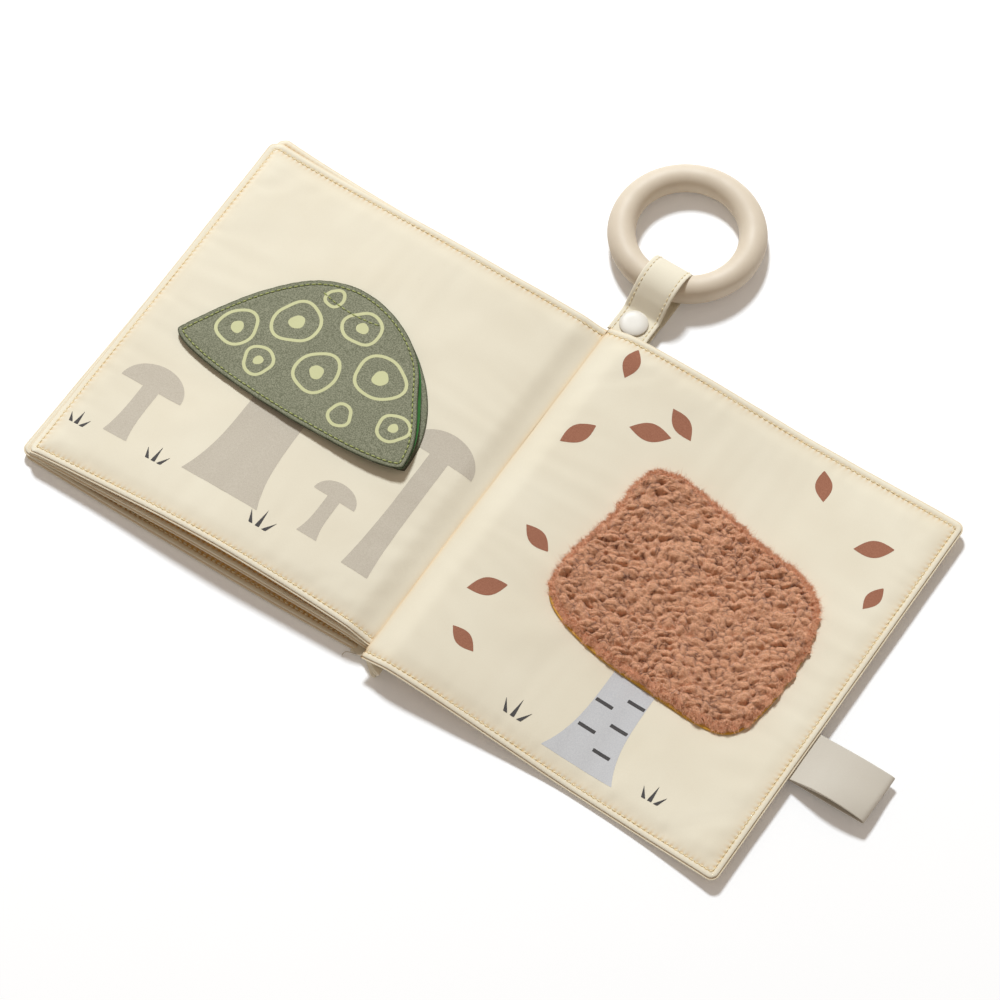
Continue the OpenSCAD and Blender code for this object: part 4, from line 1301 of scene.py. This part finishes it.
# %% Silicone and plastic
def moulded_material(name, main, other, rough, coat=0.0, bump_mm=0.02, soft=0.0):
    """Moulded plastic or silicone: slightly uneven colour and gloss, a faint orange peel."""
    material = bpy.data.materials.new(name)
    material.use_nodes = True
    tree = material.node_tree
    shader = tree.nodes["Principled BSDF"]
    patches = placed(tree, mottle, Patch_mm=12.0, Contrast=2.5).outputs["Mask"]
    tree.links.new(mixed(tree, patches, main, other), shader.inputs["Base Color"])
    uneven = node(tree, "ShaderNodeMapRange", None, Value=patches, To_Min=rough - 0.06, To_Max=rough + 0.06)
    tree.links.new(uneven.outputs[0], shader.inputs["Roughness"])
    peel = placed(tree, heather, Grain_mm=0.9, Contrast=1.0).outputs["Mask"]
    bump = node(tree, "ShaderNodeBump", None, Strength=0.06, Distance=bump_mm * MM, Height=peel)
    tree.links.new(bump.outputs["Normal"], shader.inputs["Normal"])
    shader.inputs["Coat Weight"].default_value = coat
    shader.inputs["Subsurface Weight"].default_value = soft
    shader.inputs["Subsurface Scale"].default_value = 0.002
    return material


silicone = moulded_material("beige silicone", colour(222, 208, 187), colour(217, 202, 180), 0.58)
plastic = moulded_material("white plastic", colour(222, 216, 205), colour(217, 211, 199), 0.42)
film = moulded_material("crinkle film", colour(240, 240, 238), colour(228, 228, 226), 0.25, coat=0.5)
dress(silicone, ring)
for name in ("snap_cap_top_cap", "snap_cap_bottom_cap"):
    dress(plastic, bpy.data.objects[name])


def dress_node(material, *names):
    """Gives CAD pieces that stay their finish, without a change to their mesh."""
    for name in names:
        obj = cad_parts[name]
        if not obj.material_slots:
            obj.data.materials.append(material)
        for slot_ in obj.material_slots:
            slot_.material = material


dress_node(plastic, "snap_socket", "snap_stud")
dress_node(film, "crinkle_film_front", "crinkle_film_pages", "crinkle_film_back")
print("materials:", len(bpy.data.materials))

# %% [markdown]
# ## Floor, light and camera
# The book stands on a white studio floor. The floor catches its soft shadow, and looks white to the
# camera without sending more light back to the book. One large lamp from behind on the left makes the
# shadow fall towards the viewer, and the pale surroundings fill it in.

# %% Floor
bpy.ops.mesh.primitive_grid_add(x_subdivisions=4, y_subdivisions=4, size=8)
floor = bpy.context.object
floor.name = "studio_floor"
floor.location = (0, 0, 0)
material = bpy.data.materials.new("studio floor")
material.use_nodes = True
tree = material.node_tree
shader = tree.nodes["Principled BSDF"]
tree.links.new(mixed(tree, placed(tree, mottle, Patch_mm=400.0).outputs["Mask"],
                     colour(251, 251, 251), colour(253, 253, 253)),
               shader.inputs["Base Color"])
shader.inputs["Roughness"].default_value = 0.9
shader.inputs["Specular IOR Level"].default_value = 0.0
path = tree.nodes.new("ShaderNodeLightPath")
seen = maths(tree, "MULTIPLY", path.outputs["Is Camera Ray"], 0.08)
shader.inputs["Emission Color"].default_value = (1, 1, 1, 1)
tree.links.new(seen, shader.inputs["Emission Strength"])
dress(material, floor)

# %% Lights and world
world = bpy.data.worlds.new("studio")
bpy.context.scene.world = world
world.use_nodes = True
tree = world.node_tree
path = tree.nodes.new("ShaderNodeLightPath")
background = tree.nodes["Background"]
fill = (1.0, 0.85, 0.72)
tree.links.new(mixed(tree, path.outputs["Is Camera Ray"], (*fill, 1.0), (2.86, 2.86, 2.86, 1.0)),
               background.inputs["Color"])
background.inputs["Strength"].default_value = 0.35


def lamp(name, place_, size, watts, tint=(1, 1, 1)):
    light = bpy.data.lights.new(name, "AREA")
    light.color = tint
    light.shape, light.size, light.energy = "DISK", size, watts
    obj = bpy.data.objects.new(name, light)
    obj.location = place_
    obj.rotation_euler = (-Vector(place_)).to_track_quat("-Z", "Y").to_euler()
    bpy.context.collection.objects.link(obj)
    return obj


lamp("key_lamp", (-1.62, 1.9, 2.8), 0.64, 141, (0.88, 0.945, 1.0))

# %% Camera
CAMERA_AIM = Vector((0.005478, 0.002247, 0.0))
CAMERA_TURN, CAMERA_UP, CAMERA_FAR = math.radians(33.715), math.radians(61.977), 2.081752
camera_data = bpy.data.cameras.new("camera")
camera_data.sensor_width = 36
camera_data.lens = 36 * 5.032585
camera = bpy.data.objects.new("camera", camera_data)
towards = Vector((math.sin(CAMERA_TURN) * math.cos(CAMERA_UP),
                  -math.cos(CAMERA_TURN) * math.cos(CAMERA_UP), math.sin(CAMERA_UP)))
camera.location = CAMERA_AIM + CAMERA_FAR * towards
camera.rotation_euler = (-towards).to_track_quat("-Z", "Y").to_euler()
bpy.context.collection.objects.link(camera)
bpy.context.scene.camera = camera
bpy.context.scene.view_settings.view_transform = "Standard"
print("camera at", [round(v, 3) for v in camera.location])
